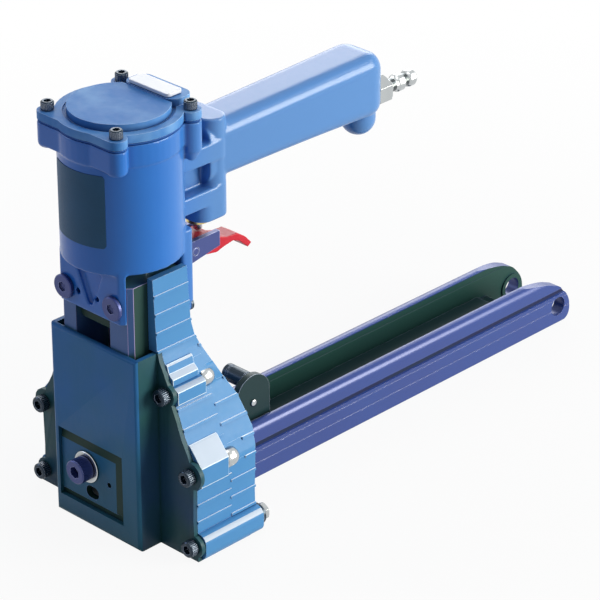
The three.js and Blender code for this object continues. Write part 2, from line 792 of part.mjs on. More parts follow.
// Drive: piston, ring, blade, pin and the yoke that swings the anvils
function addDrive() {
  const drive = new THREE.Group();
  tool.add(drive);
  const ringMiddle = (pistonBottom + pistonTop) / 2;
  const ringInner = pistonRadius - ringDepth;
  const slotHalf = bladeWidth / 2 + gap;
  const stemBottom = pistonBottom - pistonStemLength;
  const pinZ = pistonBottom - pistonStemLength / 2;
  const bladeTop = pistonBottom - gap;
  const piston = cut(
    join(rod('z', pistonBottom, pistonTop, pistonRadius, [0, 0], barrelFacets),
      rod('z', stemBottom, pistonBottom + overrun, pistonStemRadius, [0, 0], roundFacets)),
    tube('z', ringMiddle - ringHeight / 2 - gap, ringMiddle + ringHeight / 2 + gap, pistonRadius + overrun,
      ringInner, [0, 0], barrelFacets),
    block([-slotHalf, slotHalf], [bladeFront - gap, bladeRear + gap], [stemBottom - overrun, pistonBottom]),
    rod('y', -pistonStemRadius, pistonStemRadius, bladePinRadius + gap, [0, pinZ]));
  addPiece('piston', piston, 'castAluminium', [0, 0, pistonBottom], drive);
  addPiece('piston_ring', tube('z', ringMiddle - ringHeight / 2, ringMiddle + ringHeight / 2,
    sleeveInner - gap, ringInner + gap, [0, 0], barrelFacets), 'rubber', [0, 0, ringMiddle], drive);
  const blade = cut(
    block([-bladeWidth / 2, bladeWidth / 2], [bladeFront, bladeRear], [bladeRest, bladeTop]),
    rod('y', bladeFront - overrun, bladeRear + overrun, bladePinRadius + gap, [0, pinZ]));
  addPiece('driver_blade', blade, 'brightSteel', [0, bladeOffset, bladeRest], drive);
  const pinHalf = Math.sqrt(pistonStemRadius ** 2 - (bladePinRadius + gap) ** 2) - gap;
  addPiece('blade_pin', rod('y', -pinHalf, pinHalf, bladePinRadius, [0, pinZ]), 'brightSteel', [0, 0, pinZ],
    drive);
  const yokeShape = roundedRectangle([guideWindowShift - yokeHalfWidth, guideWindowShift + yokeHalfWidth],
    [yokeBottom, yokeTop], yokeCorner);
  addPiece('drive_yoke', prism(yokeShape, 'y', -yokeFront, bladeFront - gap), 'brightSteel',
    [0, bladeFront, yokeBottom], drive);
}

// Front view of a side casting, right-hand half: shares of the base half-width and of the casting height
const castingSideShares = [
  [1, 0], [1, 0.028], [0.951, 0.089], [0.944, 0.15], [0.951, 0.267], [0.951, 0.334], [0.888, 0.394],
  [0.811, 0.45], [0.755, 0.511], [0.685, 0.572], [0.664, 0.628], [0.566, 0.706], [0.54, 0.744], [0.503, 1],
];
// Side view of its rear edge: shares of the depth behind the cylinder axis and of the casting height
const castingRearShares = [
  [0.81, 0], [1, 0.044], [1.01, 0.389], [0.787, 0.528], [0.63, 0.661], [0.495, 0.744], [0.44, 0.8],
  [0.427, 1],
];
const lugs = [
  ['upper', upperScrewX, upperScrewZ, upperLug, upperBossRear],
  ['middle', middleScrewX, middleScrewZ, middleLug, middleBossRear],
  ['lower', lowerScrewX, lowerScrewZ, lowerLug, lowerBossRear],
];

function sideProfile(inner) {
  const points = castingSideShares.map(([x, z]) => [x * castingBase, z * castingTop]);
  return outline([[inner, 0], ...points, [inner, castingTop]]);
}

function rearProfile(front) {
  const rear = castingRearShares.map(([y, z]) => [y * castingRear, z * castingTop]);
  return outline([[-front, 0], ...rear, [-front, castingTop]]);
}

// Greatest depth of the castings behind the cylinder axis
const castingDepth = castingRear * Math.max(...castingRearShares.map(([y]) => y));

// Space that an anvil sweeps, with its clearance, from the castings' inner face outward
function anvilPocket() {
  const inner = railOuter - overrun;
  const start = -Math.asin(anvilPivotZ / anvilReach);
  const stop = Math.asin((anvilPocketTop - anvilPivotZ) / anvilReach);
  const shape = new THREE.Shape();
  shape.moveTo(inner, -overrun);
  shape.lineTo(anvilPivotX + anvilReach * Math.cos(start), -overrun);
  for (let i = 0; i <= pocketSteps; i += 1) {
    const turn = start + (stop - start) * i / pocketSteps;
    shape.lineTo(anvilPivotX + anvilReach * Math.cos(turn), anvilPivotZ + anvilReach * Math.sin(turn));
  }
  shape.lineTo(inner, anvilPocketTop);
  return prism(shape, 'y', -castingFront - overrun, anvilHook - anvilBack + 2 * gap);
}

function sideCasting() {
  const inner = railOuter + gap;
  const neckInner = guideHalfWidth + gap;
  const bothViews = prism(sideProfile(inner), 'y', -coverFlange, castingDepth)
    .intersect(prism(rearProfile(coverFlange), 'x', inner - overrun, castingBase + overrun));
  const bosses = lugs.slice(0, 2).map(([, x, z, radius, rear]) => join(
    rod('y', -coverFlange, rear, radius, [x, z], smallFacets),
    rod('y', rear, rear + radius * bossDomeShare, radius, [x, z], smallFacets, radius * bossTipShare)));
  const base = roundedRectangle([lowerScrewX - lowerLug, lowerScrewX + lowerLug], [0, lowerBossHeight],
    lowerBossCorner);
  bosses.push(prism(base, 'y', -coverFlange, lowerBossRear));
  const plain = join(bothViews, ...bosses);
  const ribs = [];
  const columns = [[-coverFlange, ribSplit, 0], [ribSplit, castingRear + overrun, ribPitch / 2]];
  for (const [from, to, shift] of columns) {
    for (let z = castingTop - ribPitch - shift; z > ribPitch; z -= ribPitch) {
      ribs.push(block([inner + overrun, castingBase + overrun], [from, to], [z, z + ribHeight]));
    }
  }
  const proudShape = geometryOf(bothViews).translate(ribProud, 0, 0);
  const proud = solidOf(proudShape).intersect(join(...ribs));
  const seats = [
    block([inner - overrun, neckInner], [-coverFlange - overrun, guideRear + gap],
      [guideBottom - gap, castingTop + overrun]),
    block([-castingBase, guideTailHalfWidth + gap], [-coverFlange, castingRear], [0, castingTop]),
    block([inner - overrun, castingBase + coverFlange], [-coverFlange - overrun, -castingFront],
      [-overrun, coverHeight + gap]),
    block([inner - overrun, neckRearHalfWidth + gap], [guideRear, guideRear + 2 * gap + neckRearDepth],
      [castingTop - rearScrewDrop - neckRearLug - gap, castingTop + overrun]),
  ];
  const holes = lugs.map(([, x, z]) => rod('y', -castingFront - overrun,
    -coverFlange + flangeScrewLength + gap, flangeScrewShank + gap, [x, z]));
  const inset = solidOf(geometryOf(bothViews).translate(-castingWall, -castingWall, 0));
  const cavitySpace = block([inner - overrun, castingBase], [castingWall - castingFront, castingRear],
    [anvilPocketTop + castingWall, castingTop - castingWall]);
  const cavity = cut(inset.intersect(cavitySpace), ...bosses);
  return cut(join(plain, proud), ...seats, anvilPocket(), ...holes, cavity);
}

// Pressed front cover: a box with a window, and side flanges that follow the castings
function frontCover() {
  const innerHalf = coverHalfWidth - coverSheet;
  const half = join(
    prism(sideProfile(innerHalf), 'y', -coverFlange, -coverBack),
    ...lugs.map(([, x, z, radius]) => rod('y', -coverFlange, -coverBack, radius, [x, z], smallFacets)));
  const clipped = half.intersect(block([innerHalf, castingBase + coverFlange], [-coverFlange - overrun, 0],
    [0, coverHeight]));
  const box = cut(
    block([-coverHalfWidth, coverHalfWidth], [-coverFront, -coverBack], [0, coverHeight]),
    block([-innerHalf, innerHalf], [-coverFront + coverSheet, overrun], [-overrun, coverHeight + overrun]),
    block([panelLeft, panelRight], [-coverFront - overrun, -coverFront + coverSheet + overrun],
      [panelBottom, panelTop]));
  const holes = lugs.flatMap(([, x, z]) => [-1, 1].map((sign) => rod('y', -coverFlange - overrun, 0,
    flangeScrewShank + gap, [sign * x, z])));
  return cut(join(box, clipped, mirrorX(clipped)), ...holes);
}

function addCastings() {
  addPiece('front_cover', frontCover(), 'blackPlate', [0, -coverFlange, 0]);
  const casting = sideCasting();
  addPiece('right_casting', casting, 'bluePaint', [railOuter, 0, 0]);
  addPiece('left_casting', mirrorX(casting), 'bluePaint', [-railOuter, 0, 0]);
  const screw = socketScrew(flangeScrewHead, flangeScrewHeadHeight, flangeScrewShank, flangeScrewLength);
  const washer = tube('y', 0, washerThickness, washerRadius, flangeScrewShank, [0, 0], smallFacets);
  const nut = rod('y', 0, baseNutThickness, hexRadius(baseNutFlats), [0, 0], hexFacets);
  for (const [side, sign] of sides) {
    for (const [name, x, z] of lugs) {
      addScrew(`flange_screw_${name}_${side}`, screw, 'blackOxide', [sign * x, -coverFlange - gap, z],
        headForward);
    }
    const washerY = Math.max(lowerBossRear, castingDepth) + gap;
    const nutY = washerY + washerThickness + gap;
    const x = sign * lowerScrewX;
    addPiece(`base_washer_${side}`, washer, 'blackOxide').position.set(x, washerY, lowerScrewZ);
    addPiece(`base_nut_${side}`, nut, 'nickel').position.set(x, nutY, lowerScrewZ);
  }
}

// Claw anvil: hub on its pin, a web, and a curved claw whose tip reaches back under the staple legs
function anvilClaw() {
  const arc = (radius, from, to) => Array.from({ length: clawSteps + 1 }, (_, i) => {
    const turn = (from + (to - from) * i / clawSteps) * radians;
    return [anvilPivotX + radius * Math.cos(turn), anvilPivotZ + radius * Math.sin(turn)];
  });
  const front = -castingFront;
  const back = front + anvilThickness;
  const claw = prism(outline([...arc(anvilOuter, anvilTipAngle, anvilRootAngle),
    ...arc(anvilInner, anvilRootAngle, anvilTipAngle)]), 'y', front, back);
  const web = prism(outline([[anvilPivotX, anvilPivotZ - anvilHubRadius / 2], ...arc(anvilInner + gap,
    anvilWebAngle, anvilRootAngle), [anvilPivotX, anvilPivotZ + anvilHubRadius]]), 'y', front, back);
  const hook = prism(outline([...arc(anvilOuter, anvilTipAngle, anvilHookAngle),
    ...arc(anvilInner, anvilHookAngle, anvilTipAngle)]), 'y', front, back + anvilHook);
  const hub = rod('y', front, back, anvilHubRadius, [anvilPivotX, anvilPivotZ], roundFacets);
  return cut(join(claw, web, hook, hub),
    rod('y', front - overrun, back + overrun, anvilPinRadius + gap, [anvilPivotX, anvilPivotZ]));
}

function addAnvils() {
  const claw = anvilClaw();
  const anchor = (sign) => [sign * anvilPivotX, -castingFront, anvilPivotZ];
  addPiece('right_anvil', claw, 'brightSteel', anchor(1));
  addPiece('left_anvil', mirrorX(claw), 'brightSteel', anchor(-1));
  const pinHoles = (from, to) => [-1, 1].map((sign) => rod('y', from, to, anvilPinRadius + gap,
    [sign * anvilPivotX, anvilPivotZ]));
  const noseTop = guideBottom - gap;
  const nose = cut(block([-nosePlateHalfWidth, nosePlateHalfWidth], [noseFront, noseRear], [0, noseTop]),
    ...pinHoles(noseFront - overrun, noseRear + overrun));
  addPiece('nose_plate', nose, 'blackOxide', [0, noseRear, 0]);
  const carrierHalf = coverHalfWidth - coverSheet - gap;
  const carrier = cut(
    block([-carrierHalf, carrierHalf], [-anvilPlateFront, -castingFront - gap],
      [anvilPlateBottom, anvilPlateTop]),
    ...pinHoles(-anvilPlateFront - overrun, 0),
    rod('y', -anvilPlateFront - overrun, 0, adjusterShank + gap, [adjusterX, adjusterZ]));
  addPiece('anvil_carrier', carrier, 'blackOxide', [0, -anvilPlateFront, 0]);
  for (const [side, sign] of sides) {
    addPiece(`anvil_pin_${side}`, rod('y', -anvilPlateFront, noseRear, anvilPinRadius,
      [sign * anvilPivotX, anvilPivotZ]), 'brightSteel', [sign * anvilPivotX, noseRear, anvilPivotZ]);
  }
}

// Depth adjuster: a sliding plate behind the window, its screw and its washer
function addAdjuster() {
  const back = -depthPlateFront + depthPlateThickness;
  const sheet = block([-depthPlateHalfWidth, depthPlateHalfWidth], [-depthPlateFront + 2 * gap, back],
    [depthPlateBottom, depthPlateTop]);
  const pad = block([panelLeft + gap, panelRight - panelPlay], [-panelFace, back],
    [panelBottom + panelPlay, panelTop - panelPlay]);
  const slotShape = roundedRectangle([adjusterX - adjusterShank - gap, adjusterX + adjusterShank + gap],
    [adjusterZ - adjusterShank - panelPlay, adjusterZ + adjusterShank + panelPlay], adjusterShank);
  const sightLeft = sightHoleX - sightHoleRadius - sightHoleStretch;
  const sight = roundedRectangle([sightLeft, sightHoleX + sightHoleRadius],
    [sightHoleZ - sightHoleRadius, sightHoleZ + sightHoleRadius], sightHoleRadius - gap);
  const from = -coverFront - overrun;
  const plate = cut(join(sheet, pad), prism(slotShape, 'y', from, 0), prism(sight, 'y', from, 0),
    rod('y', from, 0, smallHoleRadius, [smallHoleX, smallHoleZ]));
  addPiece('depth_plate', plate, 'blackPlate', [0, -depthPlateFront, depthPlateBottom]);
  const washerBack = -panelFace - gap;
  const washer = tube('y', washerBack - adjusterWasherThickness, washerBack, adjusterWasherOuter,
    adjusterWasherInner, [adjusterX, adjusterZ]);
  addPiece('adjuster_washer', washer, 'nickel', [adjusterX, washerBack, adjusterZ]);
  const headBackY = washerBack - adjusterWasherThickness - gap;
  const length = -headBackY - anvilPlateFront + anvilPlateThickness;
  const screw = socketScrew(adjusterHeadRadius, adjusterHeadLength, adjusterShank, length);
  addScrew('adjusting_screw', screw, 'blackOxide', [adjusterX, headBackY, adjusterZ], headForward);
}

// Rear end of a rail: shares of the end's reach and of the rail's height
const railEndShares = [
  [0.86, 0], [0.945, 0.05], [0.988, 0.13], [1, 0.22], [0.988, 0.36], [0.945, 0.49], [0.88, 0.6], [0.77, 0.74],
  [0.65, 0.815], [0.5, 0.885], [0.28, 0.945], [0, 1],
];

// Rail: rounded top edges, a sloping rear end with an eye
function railSide() {
  const start = railRear - railEndReach;
  const end = railEndShares.map(([y, z]) => [start + y * railEndReach, z * railHeight]);
  const side = outline([[magazineFront, 0], ...end, [magazineFront, railHeight]]);
  const bar = prism(side, 'x', railInner, railOuter);
  const section = roundedRectangle([railInner, railOuter], [-railHeight, railHeight], railTopRadius);
  return bar.intersect(prism(section, 'y', 0, railRear + overrun));
}

function addMagazine() {
  const eyeY = railRear - railEyeSetback;
  const grooveZ = railHeight * railGrooveShare;
  const tieEnd = railOuter - rearBoltSink;
  const eyeBoss = rod('x', railInner - eyeBossProud, railInner + overrun, eyeBossRadius, [eyeY, railEyeZ],
    roundFacets);
  const rail = cut(join(railSide(), eyeBoss),
    rod('x', 0, railOuter + overrun, railEyeRadius, [eyeY, railEyeZ], roundFacets),
    block([railOuter - railGrooveSize, railOuter + overrun], [0, railRear - railEndReach],
      [grooveZ, grooveZ + railGrooveSize]),
    rod('x', 0, tieEnd + gap, rearBoltRadius + gap, [rearSpacerY, rearBoltZ]));
  addPiece('right_rail', rail, 'railSteel', [railInner, magazineFront, 0]);
  addPiece('left_rail', mirrorX(rail), 'railSteel', [-railInner, magazineFront, 0]);
  const trackHalf = railInner - trackSideGap;
  const footHalf = railInner - gap;
  const trackLength = [magazineFront, rearSpacerY - rearSpacerDepth / 2 - gap];
  const track = cut(
    join(block([-trackHalf, trackHalf], trackLength, [0, trackHeight]),
      block([-footHalf, footHalf], trackLength, [0, trackSheet])),
    block([-trackHalf + trackSheet, trackHalf - trackSheet], [0, railRear],
      [-overrun, trackHeight - trackSheet]));
  addPiece('staple_track', track, 'blackOxide', [0, magazineFront, 0]);
  const spacer = cut(
    block([-footHalf, footHalf], [rearSpacerY - rearSpacerDepth / 2, rearSpacerY + rearSpacerDepth / 2],
      [0, rearSpacerHeight]),
    rod('x', -footHalf - overrun, footHalf + overrun, rearBoltRadius + gap, [rearSpacerY, rearBoltZ]));
  addPiece('rear_spacer', spacer, 'blackOxide', [0, rearSpacerY, 0]);
  addPiece('rear_tie_pin', rod('x', -tieEnd, tieEnd, rearBoltRadius, [rearSpacerY, rearBoltZ]),
    'blackOxide', [0, rearSpacerY, rearBoltZ]);
}

// Pusher: a long slider in the channel, one round cheek with a thumb bar, and a spring roll inside
function addPusher() {
  const pusher = new THREE.Group();
  tool.add(pusher);
  const half = railInner - pusherSideGap;
  const rear = pusherFront + pusherLength;
  const cheekInner = cheekOuter - cheekThickness;
  const slider = block([-half, half], [pusherFront, rear], [pusherBottom, pusherTop]);
  const cheekStem = block([cheekInner, cheekOuter], [cheekY - cheekRadius, cheekY + cheekRadius],
    [pusherTop - overrun, cheekZ]);
  const cheek = rod('x', cheekInner, cheekOuter, cheekRadius, [cheekY, cheekZ], roundFacets);
  const roll = springRollRadius + gap;
  const rollZ = pusherTop - springRollRadius;
  const pocketHalf = springRollLength / 2 + gap;
  const pocket = block([-pocketHalf, pocketHalf], [springRollY - roll, springRollY + roll],
    [rollZ - roll, pusherTop + overrun]);
  const spigotEnd = cheekInner + cheekThickness / 2;
  const body = cut(join(slider, cheekStem, cheek), pocket,
    rod('x', cheekInner - overrun, spigotEnd, thumbBarSpigot + gap, [thumbBarY, thumbBarZ]));
  addPiece('pusher', body, 'blackOxide', [0, pusherFront, pusherBottom], pusher);
  const barEnd = cheekInner - gap;
  const bar = join(rod('x', barEnd - thumbBarLength, barEnd, thumbBarRadius, [thumbBarY, thumbBarZ]),
    rod('x', barEnd - overrun, spigotEnd - gap, thumbBarSpigot, [thumbBarY, thumbBarZ]));
  addPiece('thumb_bar', bar, 'brightSteel', [barEnd, thumbBarY, thumbBarZ], pusher);
  addPiece('cheek_pin', rod('x', cheekOuter + gap, cheekOuter + gap + cheekPinProud, cheekPinRadius,
    [cheekY, cheekPinZ]), 'nickel', [cheekOuter, cheekY, cheekPinZ], pusher);
  addPiece('feed_spring_roll', tube('x', -springRollLength / 2, springRollLength / 2, springRollRadius,
    springRollRadius - springRollWall, [springRollY, rollZ], smallFacets), 'brightSteel',
    [0, springRollY, rollZ], pusher);
}

// Side view of the trigger from its pin: shares of its reach behind the pin and of its droop
const triggerShares = [
  [-0.11, -0.34], [0.43, -0.64], [0.53, -0.54], [0.7, -0.45], [0.8, -0.58], [0.94, -1], [1, -0.86],
  [0.9, -0.5], [0.76, -0.2], [0.6, -0.17], [0.49, -0.05], [0.4, 0.1], [0.31, 0.375], [-0.11, 0.375],
];

// Trigger: a hub on its pin, a plate under the valve stem, a web and a hooked finger end
function triggerLever() {
  const pivot = [triggerPivotY, triggerPivotZ];
  const side = triggerShares.map(([y, z]) => [pivot[0] + y * triggerReach, pivot[1] + z * triggerDroop]);
  const hub = rod('x', -triggerHalfWidth, triggerHalfWidth, triggerHubRadius, pivot, roundFacets);
  return cut(join(prism(outline(side), 'x', -triggerHalfWidth, triggerHalfWidth), hub),
    rod('x', -triggerHalfWidth - overrun, triggerHalfWidth + overrun, triggerPinRadius + gap, pivot));
}

function triggerBracket() {
  const front = guideRear + neckRearDepth + 2 * gap;
  const rear = front + bracketDepth;
  const root = block([-bracketHalfWidth, bracketHalfWidth], [front, front + bracketRootDepth],
    [bracketTop - bracketHeight, barrelBottom - gap]);
  const tipBottom = bracketTop - bracketHeight * bracketTipShare;
  const cheek = outline([[front, bracketTop - bracketHeight], [rear, tipBottom], [rear, bracketTop],
    [front, bracketTop]]);
  const cheeks = [-1, 1].map((sign) => prism(cheek, 'x',
    sign > 0 ? bracketHalfWidth - bracketWall : -bracketHalfWidth,
    sign > 0 ? bracketHalfWidth : -bracketHalfWidth + bracketWall));
  return cut(join(root, ...cheeks), rod('x', -bracketHalfWidth - overrun, bracketHalfWidth + overrun,
    triggerPinRadius + gap, [triggerPivotY, triggerPivotZ]));
}

function addTriggerAndValve() {
  addPiece('trigger_bracket', triggerBracket(), 'bluePaint', [0, guideRear + neckRearDepth, bracketTop]);
  addPiece('trigger', triggerLever(), 'redPaint', [0, triggerPivotY, triggerPivotZ]);
  addPiece('trigger_pin', rod('x', -bracketHalfWidth, bracketHalfWidth, triggerPinRadius,
    [triggerPivotY, triggerPivotZ]), 'brightSteel', [0, triggerPivotY, triggerPivotZ]);
  const bushTop = lowerBandBottom - gap;
  const bushInner = valveStemRadius + gap;
  const spigot = valveBoreRadius - gap;
  const [low, high] = [bushTop - valveBushHeight, bushTop + valveBushHeight];
  const bush = cut(
    join(rod('z', low, bushTop, valveBushRadius, [0, valveAxis], roundFacets),
      rod('z', bushTop - overrun, high, spigot, [0, valveAxis])),
    rod('z', low - overrun, high + overrun, bushInner, [0, valveAxis]));
  addPiece('valve_bush', bush, 'brass', [0, valveAxis, bushTop]);
  const stemTop = triggerTop + valveStemLength;
  const stem = join(rod('z', triggerTop, stemTop, valveStemRadius, [0, valveAxis]),
    rod('z', stemTop - valveStemHeadHeight, stemTop, valveStemHeadRadius, [0, valveAxis]));
  addPiece('valve_stem', stem, 'brightSteel', [0, valveAxis, triggerTop]);
  const springTop = valveChamberTop - gap;
  const spring = tube('z', stemTop + gap, springTop, valveStemHeadRadius,
    valveStemHeadRadius - valveSpringWall, [0, valveAxis], smallFacets);
  addPiece('valve_spring', spring, 'brightSteel', [0, valveAxis, springTop]);
}

// Plug of the air nipple: shares of its length, and which of its two radii is reached there
const nipplePlugShares = [
  [0, 'neck'], [0.17, 'neck'], [0.33, 'plug'], [0.5, 'plug'], [0.58, 'neck'], [0.75, 'neck'], [0.83, 'plug'],
  [0.93, 'plug'], [1, 'neck'],
];

function addNipple() {
  const start = inletRear + gap;
  const plugStart = start + nippleHexLength;
  const plugLength = nippleLength - nippleHexLength;
  const radii = { neck: nippleNeckRadius, plug: nipplePlugRadius };
  const profile = nipplePlugShares.map(([share, width]) => [radii[width], share * plugLength]);
  const plug = geometryOf(turned([[0, 0], ...profile, [0, plugLength]], smallFacets));
  plug.applyMatrix4(new THREE.Matrix4().makeRotationX(-quarter)).translate(0, plugStart, inletZ);
  const spigotStart = start - nippleHexLength;
  const nipple = cut(join(solidOf(plug),
    rod('y', start, plugStart + gap, hexRadius(nippleHexFlats), [0, inletZ], hexFacets),
    rod('y', spigotStart, start + gap, inletBoreRadius - gap, [0, inletZ])),
    rod('y', spigotStart - overrun, plugStart + plugLength + overrun, nippleBoreRadius, [0, inletZ]));
  addPiece('air_nipple', nipple, 'nickel', [0, start, inletZ]);
}

addBody();
addCap();
addNeckFasteners();
addGuide();
addDrive();
addCastings();
addAnvils();
addAdjuster();
addMagazine();
addPusher();
addTriggerAndValve();
addNipple();

// The footprint's middle along Y becomes the origin; the cap or the adjusting screw reaches furthest forward
const screwFront = panelFace + adjusterWasherThickness + adjusterHeadLength + 2 * gap;
const capFront = Math.max(capRimRadius, capScrewPitch / 2 + lugRadius);
tool.position.y = (Math.max(capFront, screwFront) - railRear) / 2;

export default part;
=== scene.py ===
"""Dresses the pneumatic carton closer: soft castings, pressed plates, machined fasteners, rails and studio."""

import json
import logging
import math
from contextlib import contextmanager
from dataclasses import dataclass, replace
from enum import Enum
from typing import Callable, Iterator, Optional, Sequence

import bmesh
import bpy
from mathutils import Matrix, Vector


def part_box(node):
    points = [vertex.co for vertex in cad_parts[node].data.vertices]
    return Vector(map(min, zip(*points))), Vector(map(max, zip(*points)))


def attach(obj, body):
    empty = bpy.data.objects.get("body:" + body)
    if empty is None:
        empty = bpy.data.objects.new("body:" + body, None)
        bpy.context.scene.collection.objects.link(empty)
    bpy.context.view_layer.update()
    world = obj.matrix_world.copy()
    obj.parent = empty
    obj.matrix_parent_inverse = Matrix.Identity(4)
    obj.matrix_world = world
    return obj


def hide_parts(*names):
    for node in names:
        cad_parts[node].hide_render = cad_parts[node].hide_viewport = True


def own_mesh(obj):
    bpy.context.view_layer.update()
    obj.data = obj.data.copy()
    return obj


logging.basicConfig(level=logging.INFO, format="%(name)s: %(message)s")
log = logging.getLogger("carton_closer")
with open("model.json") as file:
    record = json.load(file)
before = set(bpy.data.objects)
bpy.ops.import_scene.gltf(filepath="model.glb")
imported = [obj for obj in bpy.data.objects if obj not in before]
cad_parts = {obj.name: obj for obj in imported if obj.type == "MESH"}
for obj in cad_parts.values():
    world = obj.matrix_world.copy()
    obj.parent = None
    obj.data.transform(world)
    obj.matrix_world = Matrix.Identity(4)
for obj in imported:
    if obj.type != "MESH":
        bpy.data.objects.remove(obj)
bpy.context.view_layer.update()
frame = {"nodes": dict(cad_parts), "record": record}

MM = 0.001
CYLINDER_Y = -178.25  # millimetres from the frame's origin to the cylinder's axis, along Y
AXIS_FOOT = Vector((0, CYLINDER_Y, 0))
SIDES = ("left", "right")
ROUND = 72  # points round a turned ring
Ring = list[Vector]
Profile = Sequence[tuple[float, float]]


# Finishes

NOISE_SPAN = (0.35, 0.65)  # where the broad noise's values mostly lie
FINE_SPAN = (0.3, 0.7)  # the same for the fine noise
# BEND_SPAN places the painted edge highlight on outward bends; the two numbers after it place the painted shade in
# corners
BEND_SPAN = (0.53, 0.62)  # pointiness of a faint and of a full edge
DEEP_HOLLOW = 0.25  # ambient occlusion at the bottom of a corner
CORNER_SHADE_SHARE = 0.85  # how much of the corner's colour shows there


class Grain(Enum):
    """How a surface was made, which decides its fine relief."""

    CAST = "cast"
    PRESSED = "pressed"
    DRAWN = "drawn"
    TURNED = "turned"
    MOULDED = "moulded"


class EdgeHighlightSpot(Enum):
    """Where a finish gets its painted edge highlight."""

    CURVES = "curves"
    ROUNDINGS = "roundings"


@dataclass(frozen=True)
class Finish:
    """One material with the way its surface was made, and the painted shade and highlights laid on it; colours are sRGB
    hex, lengths millimetres.
    """

    name: str
    slot: str
    base: str
    shade: str
    metallic: float
    roughness: float
    grain: Grain
    grain_mm: float
    relief_mm: float
    patch_mm: float = 25.0
    patch_share: float = 0.35
    # painted shade: the darker colour that ambient occlusion mixes into corners and hollows, and its reach
    corner_shade_hex: Optional[str] = None
    corner_shade_mm: float = 5.0
    # painted highlight: the paler colour of rounded edges and, on fine curves, of outward bends, and its share
    edge_highlight_hex: Optional[str] = None
    edge_highlight_share: float = 0.0
    coat: float = 0.0
    coat_roughness: float = 0.08
    rough_spread: float = 0.08
    # ambient occlusion above which no painted corner shade shows
    corner_shade_from: float = 0.85
    specular: float = 0.5
    # painted light: a colour graded in along one axis between two places, paler or darker by place
    painted_light_hex: Optional[str] = None
    painted_light_axis: str = "Y"
    painted_light_from: float = -5.0
    painted_light_to: float = 60.0

    def painted_edge_highlight(self) -> "Finish":
        """Gives the finish of this one's rounded edges, which carries the painted edge highlight.

        Returns:
            The paler finish, or this one if its edges get no painted highlight.
        """
        if self.edge_highlight_hex is None:
            return self
        return replace(self, name=f"{self.name}_painted_edge_highlight", base=self.edge_highlight_hex, shade=self.base,
                       patch_share=1.0 - self.edge_highlight_share, edge_highlight_hex=None, corner_shade_hex=None, painted_light_hex=None)

    def material(self, highlight_spot: EdgeHighlightSpot) -> bpy.types.Material:
        """Builds the node material once and returns it.

        Args:
            highlight_spot: where the edge highlight is painted; only finely meshed curves show it by their bend.

        Returns:
            The material with this finish's name.
        """
        by_bend = highlight_spot is EdgeHighlightSpot.CURVES and self.edge_highlight_hex is not None
        name = f"{self.name}_on_curves" if by_bend else self.name
        known = bpy.data.materials.get(name)
        if known is not None:
            return known
        made = bpy.data.materials.new(name)
        tree = empty_tree(made)
        shader = add_node(tree, "ShaderNodeBsdfPrincipled", {"Metallic": self.metallic})
        shader.inputs["Specular IOR Level"].default_value = self.specular
        if self.coat > 0:
            shader.inputs["Coat Weight"].default_value = self.coat
            shader.inputs["Coat Roughness"].default_value = self.coat_roughness
        out = add_node(tree, "ShaderNodeOutputMaterial")
        tree.links.new(shader.outputs["BSDF"], out.inputs["Surface"])
        place = add_node(tree, "ShaderNodeTexCoord").outputs["Object"]
        tree.links.new(self.colour(tree, place, by_bend), shader.inputs["Base Color"])
        fine = self.relief(tree, place)
        half = self.rough_spread / 2
        gloss = ramp(tree, fine, FINE_SPAN, (self.roughness - half, self.roughness + half))
        tree.links.new(gloss, shader.inputs["Roughness"])
        bump = add_node(tree, "ShaderNodeBump", {"Strength": 1.0, "Distance": self.relief_mm * MM, "Height": fine})
        tree.links.new(bump.outputs["Normal"], shader.inputs["Normal"])
        return made

    def colour(self, tree: bpy.types.NodeTree, place: bpy.types.NodeSocket, by_bend: bool
               ) -> bpy.types.NodeSocket:
        """Adds the colour: patches, then painted light graded by place, painted shade in corners and a painted
        highlight on edges.

        Args:
            tree: the material's node tree.
            place: the socket with the point on the object, in metres.
            by_bend: True paints a highlight where the surface bends outward.

        Returns:
            The socket with the colour.
        """
        patches = add_node(tree, "ShaderNodeTexNoise", {"Scale": per_metre(self.patch_mm), "Detail": 3.0,
                                                        "Vector": place})
        spread = ramp(tree, patches.outputs[0], NOISE_SPAN, (0.0, self.patch_share))
        colour = mix_colour(tree, spread, linear(self.base), linear(self.shade))
        # painted light graded along one axis
        if self.painted_light_hex is not None:
            reached = add_node(tree, "ShaderNodeSeparateXYZ", {0: place}).outputs[self.painted_light_axis]
            start = CYLINDER_Y if self.painted_light_axis == "Y" else 0.0
            painted_light_share = ramp(tree, reached, ((start + self.painted_light_from) * MM, (start + self.painted_light_to) * MM), (0.0, 1.0))
            colour = mix_colour(tree, painted_light_share, colour, linear(self.painted_light_hex))
        # painted shade in corners and hollows, found by ambient occlusion
        if self.corner_shade_hex is not None:
            hollow = add_node(tree, "ShaderNodeAmbientOcclusion", {"Distance": self.corner_shade_mm * MM})
            depth = ramp(tree, hollow.outputs["AO"], (DEEP_HOLLOW, self.corner_shade_from), (CORNER_SHADE_SHARE, 0.0))
            colour = mix_colour(tree, depth, colour, linear(self.corner_shade_hex))
        # painted highlight where the surface bends outward
        if by_bend:
            bend = add_node(tree, "ShaderNodeNewGeometry").outputs["Pointiness"]
            edge_highlight_mix = ramp(tree, bend, BEND_SPAN, (0.0, self.edge_highlight_share))
            colour = mix_colour(tree, edge_highlight_mix, colour, linear(self.edge_highlight_hex))
        return colour

